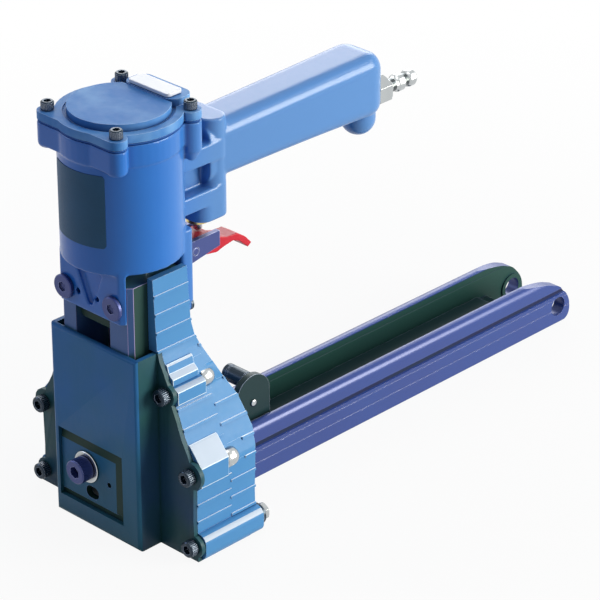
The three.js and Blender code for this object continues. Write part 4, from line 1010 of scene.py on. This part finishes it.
@dataclass
class Body(Assembly):
    """The enamelled casting: barrel, cap lugs, neck, valve tower and handle; sizes in millimetres."""

    barrel_radius: float = 37.6
    barrel_wall: float = 5.0
    barrel_low: float = 185.3
    barrel_high: float = 269.7
    lug_pitch: float = 29.6
    lug_radius: float = 6.5
    front_lug: tuple[float, float] = (255.4, 252.6)
    rear_lug: tuple[float, float] = (250.6, 243.5)
    tower_half: float = 17.5
    tower_front: float = 57.0
    tower_rear: float = 75.0
    tower_low: float = 200.2
    tower_high: float = 254.8
    tower_corner: float = 8.98
    handle_start: float = 57.3
    handle_rear: float = 200.0
    handle_top: float = 250.2
    handle_height: float = 37.5
    handle_half: float = 17.0
    end_half: float = 18.0
    end_rise: float = 4.0
    end_fall: float = 2.0
    dome: float = 16.0
    dome_angle: float = 76.0
    corner: float = 9.0
    heel_radius: float = 11.5
    heel_drop: float = 18.0
    foil_from: float = -123.0
    foil_to: float = -57.0
    foil_low: float = 203.0
    foil_high: float = 250.0
    foil_steps: int = 44
    handle_steps: int = 12
    dome_steps: int = 14

    def handle(self) -> Shape:
        """Lofts the handle through rounded rectangles, with its domed rear end.

        Returns:
            The handle's closed skin.
        """
        bottom = self.handle_top - self.handle_height
        rings = []
        for i in range(self.handle_steps + 1):
            share = i / self.handle_steps
            half = self.handle_half + (self.end_half - self.handle_half) * share
            rings.append(box_ring(half, self.handle_top + self.end_rise * share,
                                  bottom - self.end_fall * share ** 3,
                                  self.handle_start + (self.handle_rear - self.handle_start) * share, self.corner))
        whole = math.radians(self.dome_angle)
        for i in range(1, self.dome_steps + 1):
            turn = whole * i / self.dome_steps
            half = self.end_half * math.cos(turn)
            rings.append(box_ring(half, self.handle_top + self.end_rise - self.dome * (1 - math.cos(turn)),
                                  bottom - self.end_fall,
                                  self.handle_rear + self.dome * math.sin(turn) / math.sin(whole),
                                  min(self.corner, half * 0.98)))
        return loft(rings)

    def heel(self) -> Shape:
        """Turns the round heel under the handle's rear end.

        Returns:
            The heel, closed at both ends.
        """
        bottom = self.handle_top - self.handle_height
        low = bottom - self.heel_drop + self.heel_radius
        profile = [(self.heel_radius * math.sin(a), low - self.heel_radius * math.cos(a))
                   for a in (math.pi / 2 * i / 12 for i in range(13))]
        profile += [(self.heel_radius, bottom + self.heel_radius)]
        return lathe(profile, 72).moved(Matrix.Identity(4), 0, self.handle_rear + self.dome - self.heel_radius, 0)

    def lug_columns(self) -> Shape:
        """Turns the four screw columns, which taper into the barrel, the rear two further down.

        Returns:
            The four columns.
        """
        columns = Shape()
        radius = self.lug_radius
        for end, (foot, tip) in ((-1, self.front_lug), (1, self.rear_lug)):
            column = lathe([(1.2, tip), (2.6, tip + 0.6), (radius - 1.2, foot - 1.6), (radius - 0.2, foot),
                            (radius, foot + 1.2), (radius, self.barrel_high)], 48)
            for side in (-1, 1):
                columns.add(column.moved(Matrix.Identity(4), side * self.lug_pitch, end * self.lug_pitch, 0))
        return columns

    def build(self) -> None:
        """Builds the casting as one softened skin."""
        outer, inner = self.barrel_radius, self.barrel_radius - self.barrel_wall
        barrel = lathe([(outer, self.barrel_low), (outer, self.barrel_high), (inner, self.barrel_high),
                        (inner, self.barrel_low)], 192, bored=True)
        tower = rounded_outline(-self.tower_half, self.tower_half, self.tower_front, self.tower_rear,
                                self.tower_corner)
        barrel.add(sheet_prism(tower, "z", self.tower_low, self.tower_high))
        piece = node_copy("body_casting", "enamelled_body_casting", flat=0.1)
        merge(piece, barrel.to_object("skin"), self.lug_columns().to_object("columns"),
              self.handle().add(self.heel()).to_object("grip"))
        soften(piece, voxel=0.75, passes=6, keep=0.4)
        # the enamel's painted highlight follows the casting's outward curves
        self.hand_over(piece, ENAMEL, ["body_casting"], highlight_spot=EdgeHighlightSpot.CURVES)
        self.foil_plate()

    def foil_plate(self) -> None:
        """Lays the bare dark plate on the barrel's front."""
        under, face = self.barrel_radius + 0.05, self.barrel_radius + 0.3
        rings = []
        for i in range(self.foil_steps + 1):
            angle = math.radians(self.foil_from + (self.foil_to - self.foil_from) * i / self.foil_steps)
            inset = 2.0 * max(0.0, 1 - min(i, self.foil_steps - i) / 2) ** 2
            turn = Vector((math.cos(angle), math.sin(angle), 0))
            low, high = self.foil_low + inset, self.foil_high - inset
            rings.append([turn * radius + Vector((0, 0, z))
                          for radius, z in ((under, low), (face, low), (face, high), (under, high))])
        piece = loft(rings).to_object("bare_foil_plate")
        round_edges(piece, 0.05, 1, 40)
        self.hand_over(piece, FOIL, [], "frame")


@dataclass
class Cap(Assembly):
    """Top cap, its gasket, deflector and four screws; sizes in millimetres."""

    rounding: float = 0.9
    head_height: float = 5.4
    shank: float = 2.4
    knurls: int = 24

    def build(self) -> None:
        """Builds the cap and what sits on it."""
        self.rounded("top_cap", CAP_ENAMEL, self.rounding, 3)
        self.rounded("exhaust_deflector", PALE_SHEET, 0.5, 2)
        self.rounded("cap_gasket", FIBRE, 0.2, 1)
        for place in ("front_left", "front_right", "rear_left", "rear_right"):
            SocketScrew(f"cap_screw_{place}", Facing.UP, self.head_height, self.shank, knurls=self.knurls).build()


@dataclass
class Cylinder(Assembly):
    """What works inside the barrel; it shows only in a cut or with the drive down."""

    def build(self) -> None:
        """Dresses the pieces that keep their CAD shape."""
        self.keep(RAW_CASTING, "cylinder_sleeve", "piston")
        self.keep(RUBBER, "bumper_ring", "piston_ring")
        self.keep(BRIGHT_STEEL, "blade_pin", "driver_blade")


@dataclass
class Neck(Assembly):
    """Guide block, yoke and the neck's screws; sizes in millimetres."""

    bolt_height: float = 2.6
    bolt_shank: float = 3.6
    screw_height: float = 2.5
    screw_shank: float = 2.4

    def build(self) -> None:
        """Builds the guide with its yoke and screws."""
        guide = self.rounded("guide_block", BLACK_BLOCK, 0.7, 3)
        reach = node_box("guide_block")[1].x - 0.1
        # painted shade on the guide's sides
        self.paint(guide, GUIDE_SIDE_SHADE, lambda middle, normal, tall: abs(middle.x) > reach)
        # painted shade: the yoke deep in the window is dark
        self.rounded("drive_yoke", WINDOW_SHADE, 0.8, 3)
        for side in SIDES:
            SocketScrew(f"neck_bolt_{side}", Facing.FORWARD, self.bolt_height, self.bolt_shank, BLUED_STEEL,
                        socket_share=0.42).build()
            SocketScrew(f"rear_neck_screw_{side}", Facing.BACK, self.screw_height, self.screw_shank).build()


@dataclass
class Head(Assembly):
    """Front cover, ribbed side castings and their fasteners; sizes in millimetres."""

    cover_half: float = 38.3
    cover_front: float = 27.3
    bend_radius: float = 2.6
    screw_height: float = 6.0
    screw_shank: float = 3.0
    screw_knurls: int = 26
    nut_flats: float = 10.0
    boss_front: float = -6.7
    boss_room: float = 34.0
    base_half: float = 71.5
    skin: float = 0.06
    dome_gap: float = 0.4
    dome_lift: float = 0.9
    rib_split: float = 24.0
    rib_height: float = 1.6
    swell: tuple[float, float] = (58.0, 122.0)
    swell_depth: float = 6.0
    edge: float = 0.5
    boss_low: float = 45.0
    base_high: float = 20.0
    facet_proud: float = 1.2
    facet_slant: tuple[float, float] = (0.3, 0.95)
    base_slant: tuple[float, float] = (0.5, 0.92)
    facet_up: float = 0.3
    rib_up: float = 0.55

    def __post_init__(self) -> None:
        """Sets the castings' outer line, and the sections, ends and taps of their bosses."""
        top = node_box("right_casting")[1].z
        shares = [(1, 0.028), (0.951, 0.089), (0.944, 0.15), (0.951, 0.267), (0.951, 0.334), (0.888, 0.394),
                  (0.811, 0.45), (0.755, 0.511), (0.685, 0.572), (0.664, 0.628), (0.566, 0.706), (0.54, 0.744),
                  (0.503, 1)]
        self.side = [(z * top, x * self.base_half) for x, z in shares]
        step = [(37, 112.0), (48.5, 112.0), (48.5, 116.1), (44.9, 119.2), (43.8, 123.4), (42.8, 124.6), (37, 124.6)]
        upper = [(37, 99.0), (51.4, 99.0), (52.8, 100.6), (52.8, 109.0), (49.6, 111.0), (37, 112.5)]
        middle = [(54, 49.5), (70.6, 49.5), (71.9, 50.8), (71.9, 64.0), (62.8, 75.2), (61.2, 76.4), (54, 76.6)]
        self.boss_sections = {"upper": [(upper, 16.8), (step, 14.4)], "middle": [(middle, 16.4)]}
        self.boss_taps = {"upper": (45.0, 106.0), "middle": (66.0, 58.5)}

    def cover(self) -> None:
        """Builds the pressed cover with its two long bends."""
        piece = node_copy("front_cover", "pressed_front_cover")

        def on_bend(edge: bmesh.types.BMEdge) -> bool:
            """Tells the outer corner edges of the box."""
            return all(abs(abs(v.co.x) - self.cover_half) < 0.05 and abs(v.co.y + self.cover_front) < 0.05
                       for v in edge.verts)

        bend_edges(piece, self.bend_radius, on_bend)
        round_edges(piece, 0.4, 2)
        self.hand_over(piece, PLATED_SHEET, ["front_cover"])
        # painted shade down the cover's sides and flanges
        self.paint(piece, COVER_SIDE_SHADE, lambda middle, normal, tall: abs(middle.x) > self.cover_half - 0.05)

    def nut_and_washer(self, side: str) -> None:
        """Builds the washer and nut behind a base boss.

        Args:
            side: "left" or "right".
        """
        back = Facing.BACK.matrix()
        low, _, middle, size = node_box(f"base_washer_{side}")
        thick, radius = size.y, size.x / 2
        ring = [(radius - 0.5, 0), (radius, 0.4), (radius, thick - 0.6), (radius - 0.7, thick), (3.2, thick), (3.2, 0)]
        washer = lathe(ring, 64, bored=True).moved(back, middle.x, low.y, middle.z)
        self.turned(f"base_washer_{side}", washer, BLACK_STEEL, 0.1)
        low, _, _, size = node_box(f"base_nut_{side}")
        tall, flats = size.y, self.nut_flats
        rings = [hexagon(flats, 0, ROUND, 0.93), hexagon(flats, 0.5, 48), hexagon(flats, tall - 0.9, 48),
                 hexagon(flats, tall - 0.3, ROUND, 0.9)]
        rings += [circle(radius, tall - drop, 64) for radius, drop in
                  ((flats * 0.36, 0.05), (2.9, 0.05), (2.8, 0.7), (1.6, 0.25), (0.2, 0.1))]
        nut = loft([resampled(ring, ROUND) for ring in rings])
        self.turned(f"base_nut_{side}", nut.moved(back, middle.x, low.y, middle.z), NICKEL, 0.08)

    def side_line(self, low: float, high: float) -> Profile:
        """Gives the casting's outer line between two heights, just off its surface."""
        inside = [z for z, _ in self.side if low < z < high]
        return [(along(self.side, z) + self.skin, z) for z in [low] + inside + [high]]

    def boss(self, side: str, level: str, casting: bpy.types.Object) -> list[bpy.types.Object]:
        """Clears a turned boss off a casting and gives the faceted one for its place.

        Args:
            side: "left" or "right".
            level: "upper" or "middle".
            casting: the casting, in millimetres.

        Returns:
            The faceted boss's blocks, rounded, in millimetres.
        """
        sections = self.boss_sections[level]
        x, z = self.boss_taps[level]
        heights = [point[1] for section, _ in sections for point in section]
        low, high = min(heights) - 0.8, max(heights) + 0.8
        room = sheet_prism(self.side_line(low, high) + [(self.base_half + 9, high), (self.base_half + 9, low)], "y",
                           self.boss_front, self.boss_room)
        carve(casting, room.on_side(side))
        hole = lathe([(3.35, 0), (3.35, 13)], 32).moved(Facing.BACK.matrix(), x, self.boss_front - 1, z)
        pieces = []
        for section, rear in sections:
            piece = sheet_prism(section, "y", self.boss_front + 0.1, rear).on_side(side).to_object("boss")
            round_edges(piece, 0.35, 2)
            carve(piece, hole.on_side(side))
            pieces.append(piece)
        return pieces

    def casting(self, side: str) -> None:
        """Builds one side casting with its two faceted bosses.

        Args:
            side: "left" or "right".
        """
        piece = node_copy(f"{side}_casting", f"{side}_ribbed_casting")
        self.swell_rear(piece)
        round_edges(piece, self.edge, 2)
        for level in ("upper", "middle"):
            merge(piece, *self.boss(side, level, piece))
        piece.data.shade_smooth()
        even_normals(piece)
        self.hand_over(piece, CASTING_ENAMEL_LIT, [f"{side}_casting"])
        # downward rib faces keep the lit-copy enamel, without the painted edge highlight
        self.paint(piece, CASTING_ENAMEL_LIT, lambda middle, normal, tall: normal.z < self.rib_up
                   and self.on_rib(middle, tall), edges_too=True)
        # upward and end faces of the ribs get a painted highlight
        self.paint(piece, RIB_HIGHLIGHT, lambda middle, normal, tall: (normal.z > self.rib_up or abs(normal.y) > 0.5)
                   and self.on_rib(middle, tall), edges_too=True)
        # painted highlight on the bosses' slanted faces that look up and outward
        self.paint(piece, FACET_HIGHLIGHT, lambda middle, normal, tall: self.slanted(normal, self.facet_slant)
                   and self.boss_low < middle.z
                   and abs(middle.x) > along(self.side, middle.z) + self.facet_proud)
        # painted highlight on the foot's slanted band
        self.paint(piece, FACET_HIGHLIGHT, lambda middle, normal, tall: self.slanted(normal, self.base_slant)
                   and middle.z < self.base_high, edges_too=True)

    def slanted(self, normal: Vector, slant: tuple[float, float]) -> bool:
        """Tells whether a face looks up and outward, with its sideways share within the two limits."""
        return slant[0] < abs(normal.x) < slant[1] and normal.z > self.facet_up

    def swell_rear(self, piece: bpy.types.Object) -> None:
        """Swells a casting's rear edge, which bulges between its foot and its neck.

        Args:
            piece: the casting, in millimetres.
        """
        low, high = self.swell
        for vert in piece.data.vertices:
            if vert.co.y > self.rib_split and low < vert.co.z < high:
                vert.co.y += self.swell_depth * math.sin(math.pi * (vert.co.z - low) / (high - low)) ** 2

    def on_rib(self, middle: Vector, tall: float) -> bool:
        """Tells by a face's middle and height whether it belongs to a rib."""
        return tall < self.rib_height and 0.1 < abs(middle.x) - along(self.side, middle.z) < self.facet_proud

    def dome_nuts(self, side: str) -> None:
        """Sets the bright domes on the rear ends of the upper and middle bosses.

        Args:
            side: "left" or "right".
        """
        profile = [(6.1, -0.4), (6.5, 0.2), (6.5, 5.2), (6.2, 7.2), (5.3, 9.0), (3.9, 10.4), (2.0, 11.3), (0.2, 11.6)]
        for level, (x, z) in self.boss_taps.items():
            rear = self.boss_sections[level][0][1]
            dome = lathe(profile, 48).moved(Facing.BACK.matrix(), x, rear + self.dome_gap, z + self.dome_lift)
            piece = dome.on_side(side).to_object(f"dome_nut_{level}_{side}")
            piece.data.shade_smooth()
            self.hand_over(piece, NICKEL, [], "frame")

    def build(self) -> None:
        """Builds the cover, the castings and their screws."""
        self.cover()
        for side in SIDES:
            self.casting(side)
            self.dome_nuts(side)
            for level in ("upper", "middle", "lower"):
                SocketScrew(f"flange_screw_{level}_{side}", Facing.FORWARD, self.screw_height, self.screw_shank,
                            knurls=self.screw_knurls).build()
            self.nut_and_washer(side)


@dataclass
class Anvils(Assembly):
    """Claw anvils with their plates and pins."""

    def build(self) -> None:
        """Rounds and dresses the anvils and their carriers."""
        for side in SIDES:
            self.rounded(f"{side}_anvil", BRIGHT_STEEL, 0.5, 2)
        for node in ("anvil_carrier", "nose_plate"):
            self.rounded(node, BLACK_PLATE, 0.4, 2)
        self.keep(BRIGHT_STEEL, "anvil_pin_left", "anvil_pin_right")


@dataclass
class DepthStop(Assembly):
    """Sliding plate with its clamp screw and washer; sizes in millimetres."""

    head_height: float = 9.0
    shank: float = 4.0
    knurls: int = 30
    pad_back: float = -24.7
    pad_top: float = 56.5
    pad_right: float = 19.0
    pad_gap: float = 4.0

    def build(self) -> None:
        """Builds the plate, the washer and the screw."""
        plate = node_copy("depth_plate", "depth_plate_finished")
        # the pad is drawn back at its top and right, so that more of the painted shadow round it shows
        for vert in plate.data.vertices:
            if vert.co.y < self.pad_back:
                vert.co.z -= self.pad_gap if vert.co.z > self.pad_top else 0.0
                vert.co.x -= self.pad_gap if vert.co.x > self.pad_right else 0.0
        round_edges(plate, 0.5, 2)
        self.hand_over(plate, PLATED_SHEET, ["depth_plate"])
        # painted shadow on the sheet round the pad, under the cover's edges
        self.paint(plate, WINDOW_SHADE, lambda middle, normal, tall: middle.y > self.pad_back)
        _, high, middle, size = node_box("adjuster_washer")
        radius, thick = size.x / 2, size.y
        ring = [(radius - 0.2, 0), (radius, 0.2), (radius, thick - 0.4), (radius - 0.5, thick), (5.1, thick), (5.1, 0)]
        washer = lathe(ring, 96, bored=True).moved(Facing.FORWARD.matrix(), middle.x, high.y, middle.z)
        self.turned("adjuster_washer", washer, NICKEL, 0.18, 2)
        SocketScrew("adjusting_screw", Facing.FORWARD, self.head_height, self.shank, BLUED_STEEL,
                    knurls=self.knurls, socket_share=0.5).build()


@dataclass
class Magazine(Assembly):
    """Two drawn rails, the track between them and the rear spacer; sizes in millimetres."""

    inner: float = 17.8
    outer: float = 25.65
    height: float = 38.0
    front: float = 4.4
    rear: float = 395.0
    end_reach: float = 49.0
    eye_setback: float = 12.5
    eye_z: float = 13.2
    eye_radius: float = 7.0
    boss_radius: float = 10.0
    boss_proud: float = 1.2
    groove_low: float = 21.9
    groove_high: float = 26.1

    def section(self) -> Profile:
        """Gives the rail's section: flat side with two fine lines, a groove, a ledge and a rounded bead.

        Returns:
            The section's corners, as X and Z.
        """
        o, i = self.outer, self.inner
        side = [(i + 0.4, 0), (o - 0.7, 0), (o, 0.7), (o, 10.7), (o - 0.35, 11.05), (o, 11.4), (o, 18.9),
                (o - 0.35, 19.25), (o, 19.6), (o, 22.0), (o - 1.3, 22.5), (o - 1.3, 25.4), (o - 0.2, 26.0), (o, 26.8)]
        bead = [(o, 28.9), (o, 30.2), (o, 31.8), (o - 0.2, 33.3), (o - 0.65, 34.7),
                (o - 1.35, 35.9), (o - 2.25, 36.9), (o - 3.45, 37.6), (o - 4.75, 37.95), (i + 1.8, 38.0),
                (i + 0.8, 37.7), (i + 0.2, 37.1), (i, 36.3)]
        return side + bead + [(i, 32.2), (i + 0.45, 31.8), (i, 31.4), (i, 0.4)]

    def end_line(self) -> Profile:
        """Gives the rail's side view, with its rear end as one smooth curve.

        Returns:
            The side view's corners, as Y and Z.
        """
        start = self.rear - self.end_reach
        shares = [(0.86, 0), (0.945, 0.05), (0.988, 0.13), (1, 0.22), (0.988, 0.36), (0.945, 0.49), (0.88, 0.6),
                  (0.77, 0.74), (0.65, 0.815), (0.5, 0.885), (0.28, 0.945), (0, 1)]
        run = smooth_path([(start + y * self.end_reach, z * self.height) for y, z in shares])
        return [(self.front, 0)] + list(run) + [(self.front, self.height)]

    def build_rail(self, side: str) -> None:
        """Builds one rail with its eye and boss.

        Args:
            side: "left" or "right".
        """
        seat = (Facing.RIGHT.matrix(), self.inner, self.rear - self.eye_setback, self.eye_z)
        view = sheet_prism(self.end_line(), "x", self.inner - 2, self.outer + 2)
        boss = lathe([(self.boss_radius, -self.boss_proud), (self.boss_radius, 1.0)], 64).moved(*seat)
        eye = lathe([(self.eye_radius, -6), (self.eye_radius, 14)], 64).moved(*seat)
        drawn = sheet_prism(self.section(), "y", self.front, self.rear)
        piece = drawn.on_side(side).to_object(f"{side}_rail_drawn")
        carve(piece, view.on_side(side), keep_inside=True)
        carve(piece, boss.on_side(side), join=True)
        carve(piece, eye.on_side(side))
        round_edges(piece, 0.3, 2, 28)
        self.hand_over(piece, ANODISED, [f"{side}_rail"])
        # painted shade inside the channel and in the groove under the bead
        self.paint(piece, RAIL_INSIDE_SHADE, lambda middle, normal, tall: abs(middle.x) < self.inner + 0.5
                   and middle.z < self.height - 2.5, edges_too=True)
        self.paint(piece, UNDER_BEAD_SHADE, lambda middle, normal, tall: self.outer - 1.5 < abs(middle.x) < self.outer - 1.1
                   and self.groove_low < middle.z < self.groove_high, edges_too=True)

    def build(self) -> None:
        """Builds the rails, the track and the spacer."""
        for side in SIDES:
            self.build_rail(side)
        self.rounded("staple_track", BLACK_PLATE, 0.3, 2)
        self.rounded("rear_spacer", BLACK_PLATE, 0.5, 2)
        self.keep(BRIGHT_STEEL, "rear_tie_pin")


@dataclass
class Feeder(Assembly):
    """Pusher with its cheek, thumb bar, pin and rolled spring; sizes in millimetres."""

    sleeve_share: float = 1.4
    spring_turns: int = 4
    spring_depth: float = 1.9
    strip_half: float = 0.14
    spring_steps: int = 160

    def build(self) -> None:
        """Builds the slider and what it carries."""
        self.rounded("pusher", BLACK_PLATE, 0.7, 3)
        right = Facing.RIGHT.matrix()
        low, _, middle, size = node_box("thumb_bar")
        radius = size.y / 2
        thick = radius * self.sleeve_share
        profile = [(thick * 0.55, 0), (thick * 0.85, 0.35), (thick, 1.2), (thick, 4.0), (thick - 0.5, 4.4),
                   (thick - 0.5, 5.4), (thick, 5.8), (thick, 18.0), (thick - 0.5, 18.4), (thick - 0.5, 19.4),
                   (thick, 19.8), (thick, 22.8), (thick - 0.8, 23.6), (radius, 23.8), (radius, 24.4), (2.1, 24.8),
                   (2.1, size.x)]
        bar = lathe(profile, 48).moved(right, low.x, middle.y, middle.z)
        self.turned("thumb_bar", bar, BLACK_STEEL, 0.08)
        low, _, middle, size = node_box("cheek_pin")
        radius, proud = size.y / 2, size.x
        pin = lathe([(radius, 0), (radius, proud * 0.35), (radius * 0.85, proud * 0.75),
                     (radius * 0.5, proud * 0.95), (radius * 0.1, proud)], 40)
        piece = pin.moved(right, low.x, middle.y, middle.z).to_object("cheek_pin_domed")
        piece.data.shade_smooth()
        self.hand_over(piece, NICKEL, ["cheek_pin"])
        self.spring_roll()

    def spring_roll(self) -> None:
        """Winds the feed spring's strip."""
        low, high, middle, size = node_box("feed_spring_roll")
        rings = []
        for i in range(self.spring_steps + 1):
            turn = 2 * math.pi * self.spring_turns * i / self.spring_steps
            mid = size.y / 2 - 0.2 - self.spring_depth * i / self.spring_steps
            inner, outer = mid - self.strip_half, mid + self.strip_half
            rings.append([Vector((x, middle.y + r * math.cos(turn), middle.z + r * math.sin(turn)))
                          for r, x in ((inner, low.x), (outer, low.x), (outer, high.x), (inner, high.x))])
        piece = loft(rings).to_object("feed_spring_wound")
        round_edges(piece, 0.03, 1, 40)
        self.hand_over(piece, BRIGHT_STEEL, ["feed_spring_roll"])


@dataclass
class TriggerAndValve(Assembly):
    """Bracket, trigger, pin, bush, stem and spring; sizes in millimetres."""

    stem_radius: float = 2.8
    coils: int = 7
    coil_steps: int = 24
    wire: float = 0.55
    wire_steps: int = 10
    lift: float = 3.3

    def build(self) -> None:
        """Builds the trigger and the valve above it."""
        self.rounded("trigger_bracket", BLUED_STEEL, 0.6, 2)
        trigger = node_copy("trigger", "enamelled_trigger", flat=0.1)
        soften(trigger, voxel=0.35, passes=8, keep=0.45)
        # the red enamel's painted highlight follows the trigger's outward curves
        self.hand_over(trigger, RED_ENAMEL, ["trigger"], highlight_spot=EdgeHighlightSpot.CURVES)
        self.rounded("trigger_pin", BLUED_STEEL, 0.4, 2)
        self.rounded("valve_bush", BRASS, 0.5, 2)
        low, _, middle, size = node_box("valve_stem")
        tall = size.z
        profile = [(0.6, 0), (1.9, 0.25), (self.stem_radius, 1.2), (self.stem_radius, 5.0), (2.3, 5.4), (2.3, 6.4),
                   (self.stem_radius, 6.8), (self.stem_radius, tall - 4), (5.4, tall - 4), (5.4, tall - 0.5),
                   (4.9, tall)]
        stem = lathe(profile, 40).moved(Matrix.Identity(4), 0, middle.y, low.z)
        self.turned("valve_stem", stem, BRIGHT_STEEL, 0.1)
        self.spring()

    def spring(self) -> None:
        """Winds the valve spring."""
        low, high, middle, size = node_box("valve_spring")
        mean, rise = size.x / 2 - self.wire, size.z - 2 * self.wire
        rings = []
        total = self.coils * self.coil_steps
        for i in range(total + 1):
            turn = 2 * math.pi * self.coils * i / total
            z = low.z + self.wire + rise * i / total
            ring = []
            for k in range(self.wire_steps):
                a = 2 * math.pi * k / self.wire_steps
                r = mean + self.wire * math.cos(a)
                ring.append(Vector((r * math.cos(turn), middle.y + r * math.sin(turn), z + self.wire * math.sin(a))))
            rings.append(ring)
        piece = loft(rings).to_object("valve_spring_wound")
        piece.data.shade_smooth()
        self.hand_over(piece, BRIGHT_STEEL, ["valve_spring"])
        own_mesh(piece)


@dataclass
class AirInlet(Assembly):
    """Nipple with its hexagon and ringed plug; sizes in millimetres."""

    flats: float = 17.0
    hexagon_length: float = 12.0
    start: float = 216.3
    bore: float = 2.6
    groove: float = 4.75

    def build(self) -> None:
        """Builds the nipple in one turned piece."""
        low, high, middle, _ = node_box("air_nipple")
        z = middle.z
        tail, tip = low.y - self.start, high.y - self.start
        plug = [(0.06, 6.3), (0.1, 5.2), (0.17, 4.6), (0.3, 4.6), (0.36, 5.0), (0.4, 5.9), (0.56, 5.9), (0.6, 5.3),
                (0.64, 4.4), (0.74, 4.4), (0.78, 5.3), (0.82, 5.7), (0.95, 5.7), (1.0, 4.9)]
        long = self.hexagon_length
        rings = [circle(4.0, tail), circle(4.7, tail + 0.6), circle(4.7, 0), hexagon(self.flats, 0.02, corner=0.9),
                 hexagon(self.flats, 0.8), hexagon(self.flats, long - 1.0), hexagon(self.flats, long - 0.1, corner=0.9),
                 circle(7.2, long)]
        rings += [circle(r, long + share * (tip - long)) for share, r in plug]
        rings += [circle(self.bore + 0.5, tip), circle(self.bore, tip - 0.6), circle(self.bore, tip - 14)]
        nipple = loft(rings).moved(Facing.BACK.matrix(), 0, self.start, z)
        piece = self.turned("air_nipple", nipple, NICKEL, 0.12, angle=35)
        # painted shade in the plug's grooves
        self.paint(piece, PLUG_GROOVE_SHADE, lambda spot, normal, tall: math.hypot(spot.x, spot.z - z) < self.groove
                   and spot.y > self.start + long, edges_too=True)


@dataclass
class Studio:
    """Pale floor, soft lamps and the camera at the photograph's angle."""

    lens_mm: float = 190.14
    sensor_mm: float = 36.0
    floor_radius: float = 7.0
    world_level: float = 0.27
    fill_tint: str = "#D9E6FF"

    def camera(self) -> None:
        """Places the camera by its solved position and axes."""
        lens = bpy.data.cameras.new("photo_camera")
        lens.lens = self.lens_mm
        lens.sensor_width = self.sensor_mm
        lens.clip_end = 50
        seat = linked("photo_camera", lens)
        right = Vector((0.7160, 0.6981, 0.0)).normalized()
        back = Vector((0.6201, -0.6360, 0.4594)).normalized()
        up = back.cross(right).normalized()
        turn = Matrix((right, up, back)).transposed().to_4x4()
        seat.matrix_world = Matrix.Translation((1.26239, -1.32119, 1.02957)) @ turn
        bpy.context.scene.camera = seat

    def lamp(self, name: str, place: tuple[float, float, float], aim: tuple[float, float, float], size: float,
             power: float, tint: str = "#FFFFFF") -> None:
        """Hangs a soft square lamp.

        Args:
            name: the lamp's name.
            place: where it hangs, in metres.
            aim: what it looks at.
            size: the edge of its square.
            power: its watts.
            tint: its colour.
        """
        light = bpy.data.lights.new(name, "AREA")
        light.shape = "RECTANGLE"
        light.size = size
        light.size_y = size
        light.energy = power
        light.color = linear(tint)[:3]
        look = Vector(aim) - Vector(place)
        linked(name, light).matrix_world = (Matrix.Translation(place)
                                            @ look.to_track_quat("-Z", "Y").to_matrix().to_4x4())

    def floor(self) -> None:
        """Lays the pale floor, which stays white far from the object and keeps its shadow near it."""
        piece = loft([circle(self.floor_radius, z, 96) for z in (-0.02, 0)]).to_object("pale_floor")
        made = bpy.data.materials.new("pale_paper_floor")
        tree = empty_tree(made)
        place = add_node(tree, "ShaderNodeTexCoord").outputs["Object"]
        reach = add_node(tree, "ShaderNodeVectorMath", {0: place}, operation="LENGTH").outputs["Value"]
        far = ramp(tree, reach, (0.2, 0.7), (0.92, 1.0))
        fibre = add_node(tree, "ShaderNodeTexNoise", {"Vector": place, "Scale": per_metre(4.0), "Detail": 3.0})
        paper = mix_colour(tree, fibre.outputs[0], linear("#C9C9C9"), linear("#C4C4C4"))
        matt = add_node(tree, "ShaderNodeBsdfDiffuse", {"Color": paper})
        glow = add_node(tree, "ShaderNodeEmission", {"Color": (1, 1, 1, 1), "Strength": 1.0})
        share = add_node(tree, "ShaderNodeMath", {0: seen_rays(tree), 1: far}, operation="MULTIPLY")
        blend = add_node(tree, "ShaderNodeMixShader", {0: share.outputs[0], 1: matt.outputs[0], 2: glow.outputs[0]})
        out = add_node(tree, "ShaderNodeOutputMaterial")
        tree.links.new(blend.outputs[0], out.inputs["Surface"])
        piece.data.materials.append(made)

    def world(self) -> None:
        """Fills the room with an even light and keeps it white to the eye and in reflections."""
        room = bpy.data.worlds.new("white_room")
        bpy.context.scene.world = room
        tree = empty_tree(room)
        seen = seen_rays(tree)
        level = ramp(tree, seen, (0.0, 1.0), (self.world_level, 1.0))
        tone = mix_colour(tree, seen, linear(self.fill_tint), linear("#FFFFFF"))
        sky = add_node(tree, "ShaderNodeBackground", {"Color": tone, "Strength": level})
        out = add_node(tree, "ShaderNodeOutputWorld")
        tree.links.new(sky.outputs[0], out.inputs["Surface"])

    def build(self) -> None:
        """Builds the whole studio."""
        self.camera()
        self.world()
        self.floor()
        self.lamp("right_softbox", (1.35, 0.8, 0.5), (0, -0.05, 0.12), 0.9, 38.0, "#FFFAEC")
        self.lamp("rear_softbox", (-1.0, 1.15, 0.85), (0, 0, 0.2), 1.1, 13.5)
        self.lamp("rear_strip", (0.69, 0.95, 0.98), (0, 0.05, 0.05), 0.3, 1.2)
        self.lamp("top_softbox", (0.1, 0.0, 1.5), (0, -0.05, 0.15), 0.8, 5.0)
        self.lamp("left_strip", (-1.2, -0.9, 0.6), (0, -0.15, 0.2), 0.5, 3.5, "#C4D6FF")
        bpy.context.scene.view_settings.view_transform = "Standard"


def main() -> None:
    """Builds every sub-assembly in order, then the studio."""
    for part in (Body(), Cap(), Cylinder(), Neck(), Head(), Anvils(), DepthStop(), Magazine(), Feeder(),
                 TriggerAndValve(), AirInlet()):
        log.info("building %s", type(part).__name__)
        part.build()
    Studio().build()


if __name__ == "__main__":
    main()
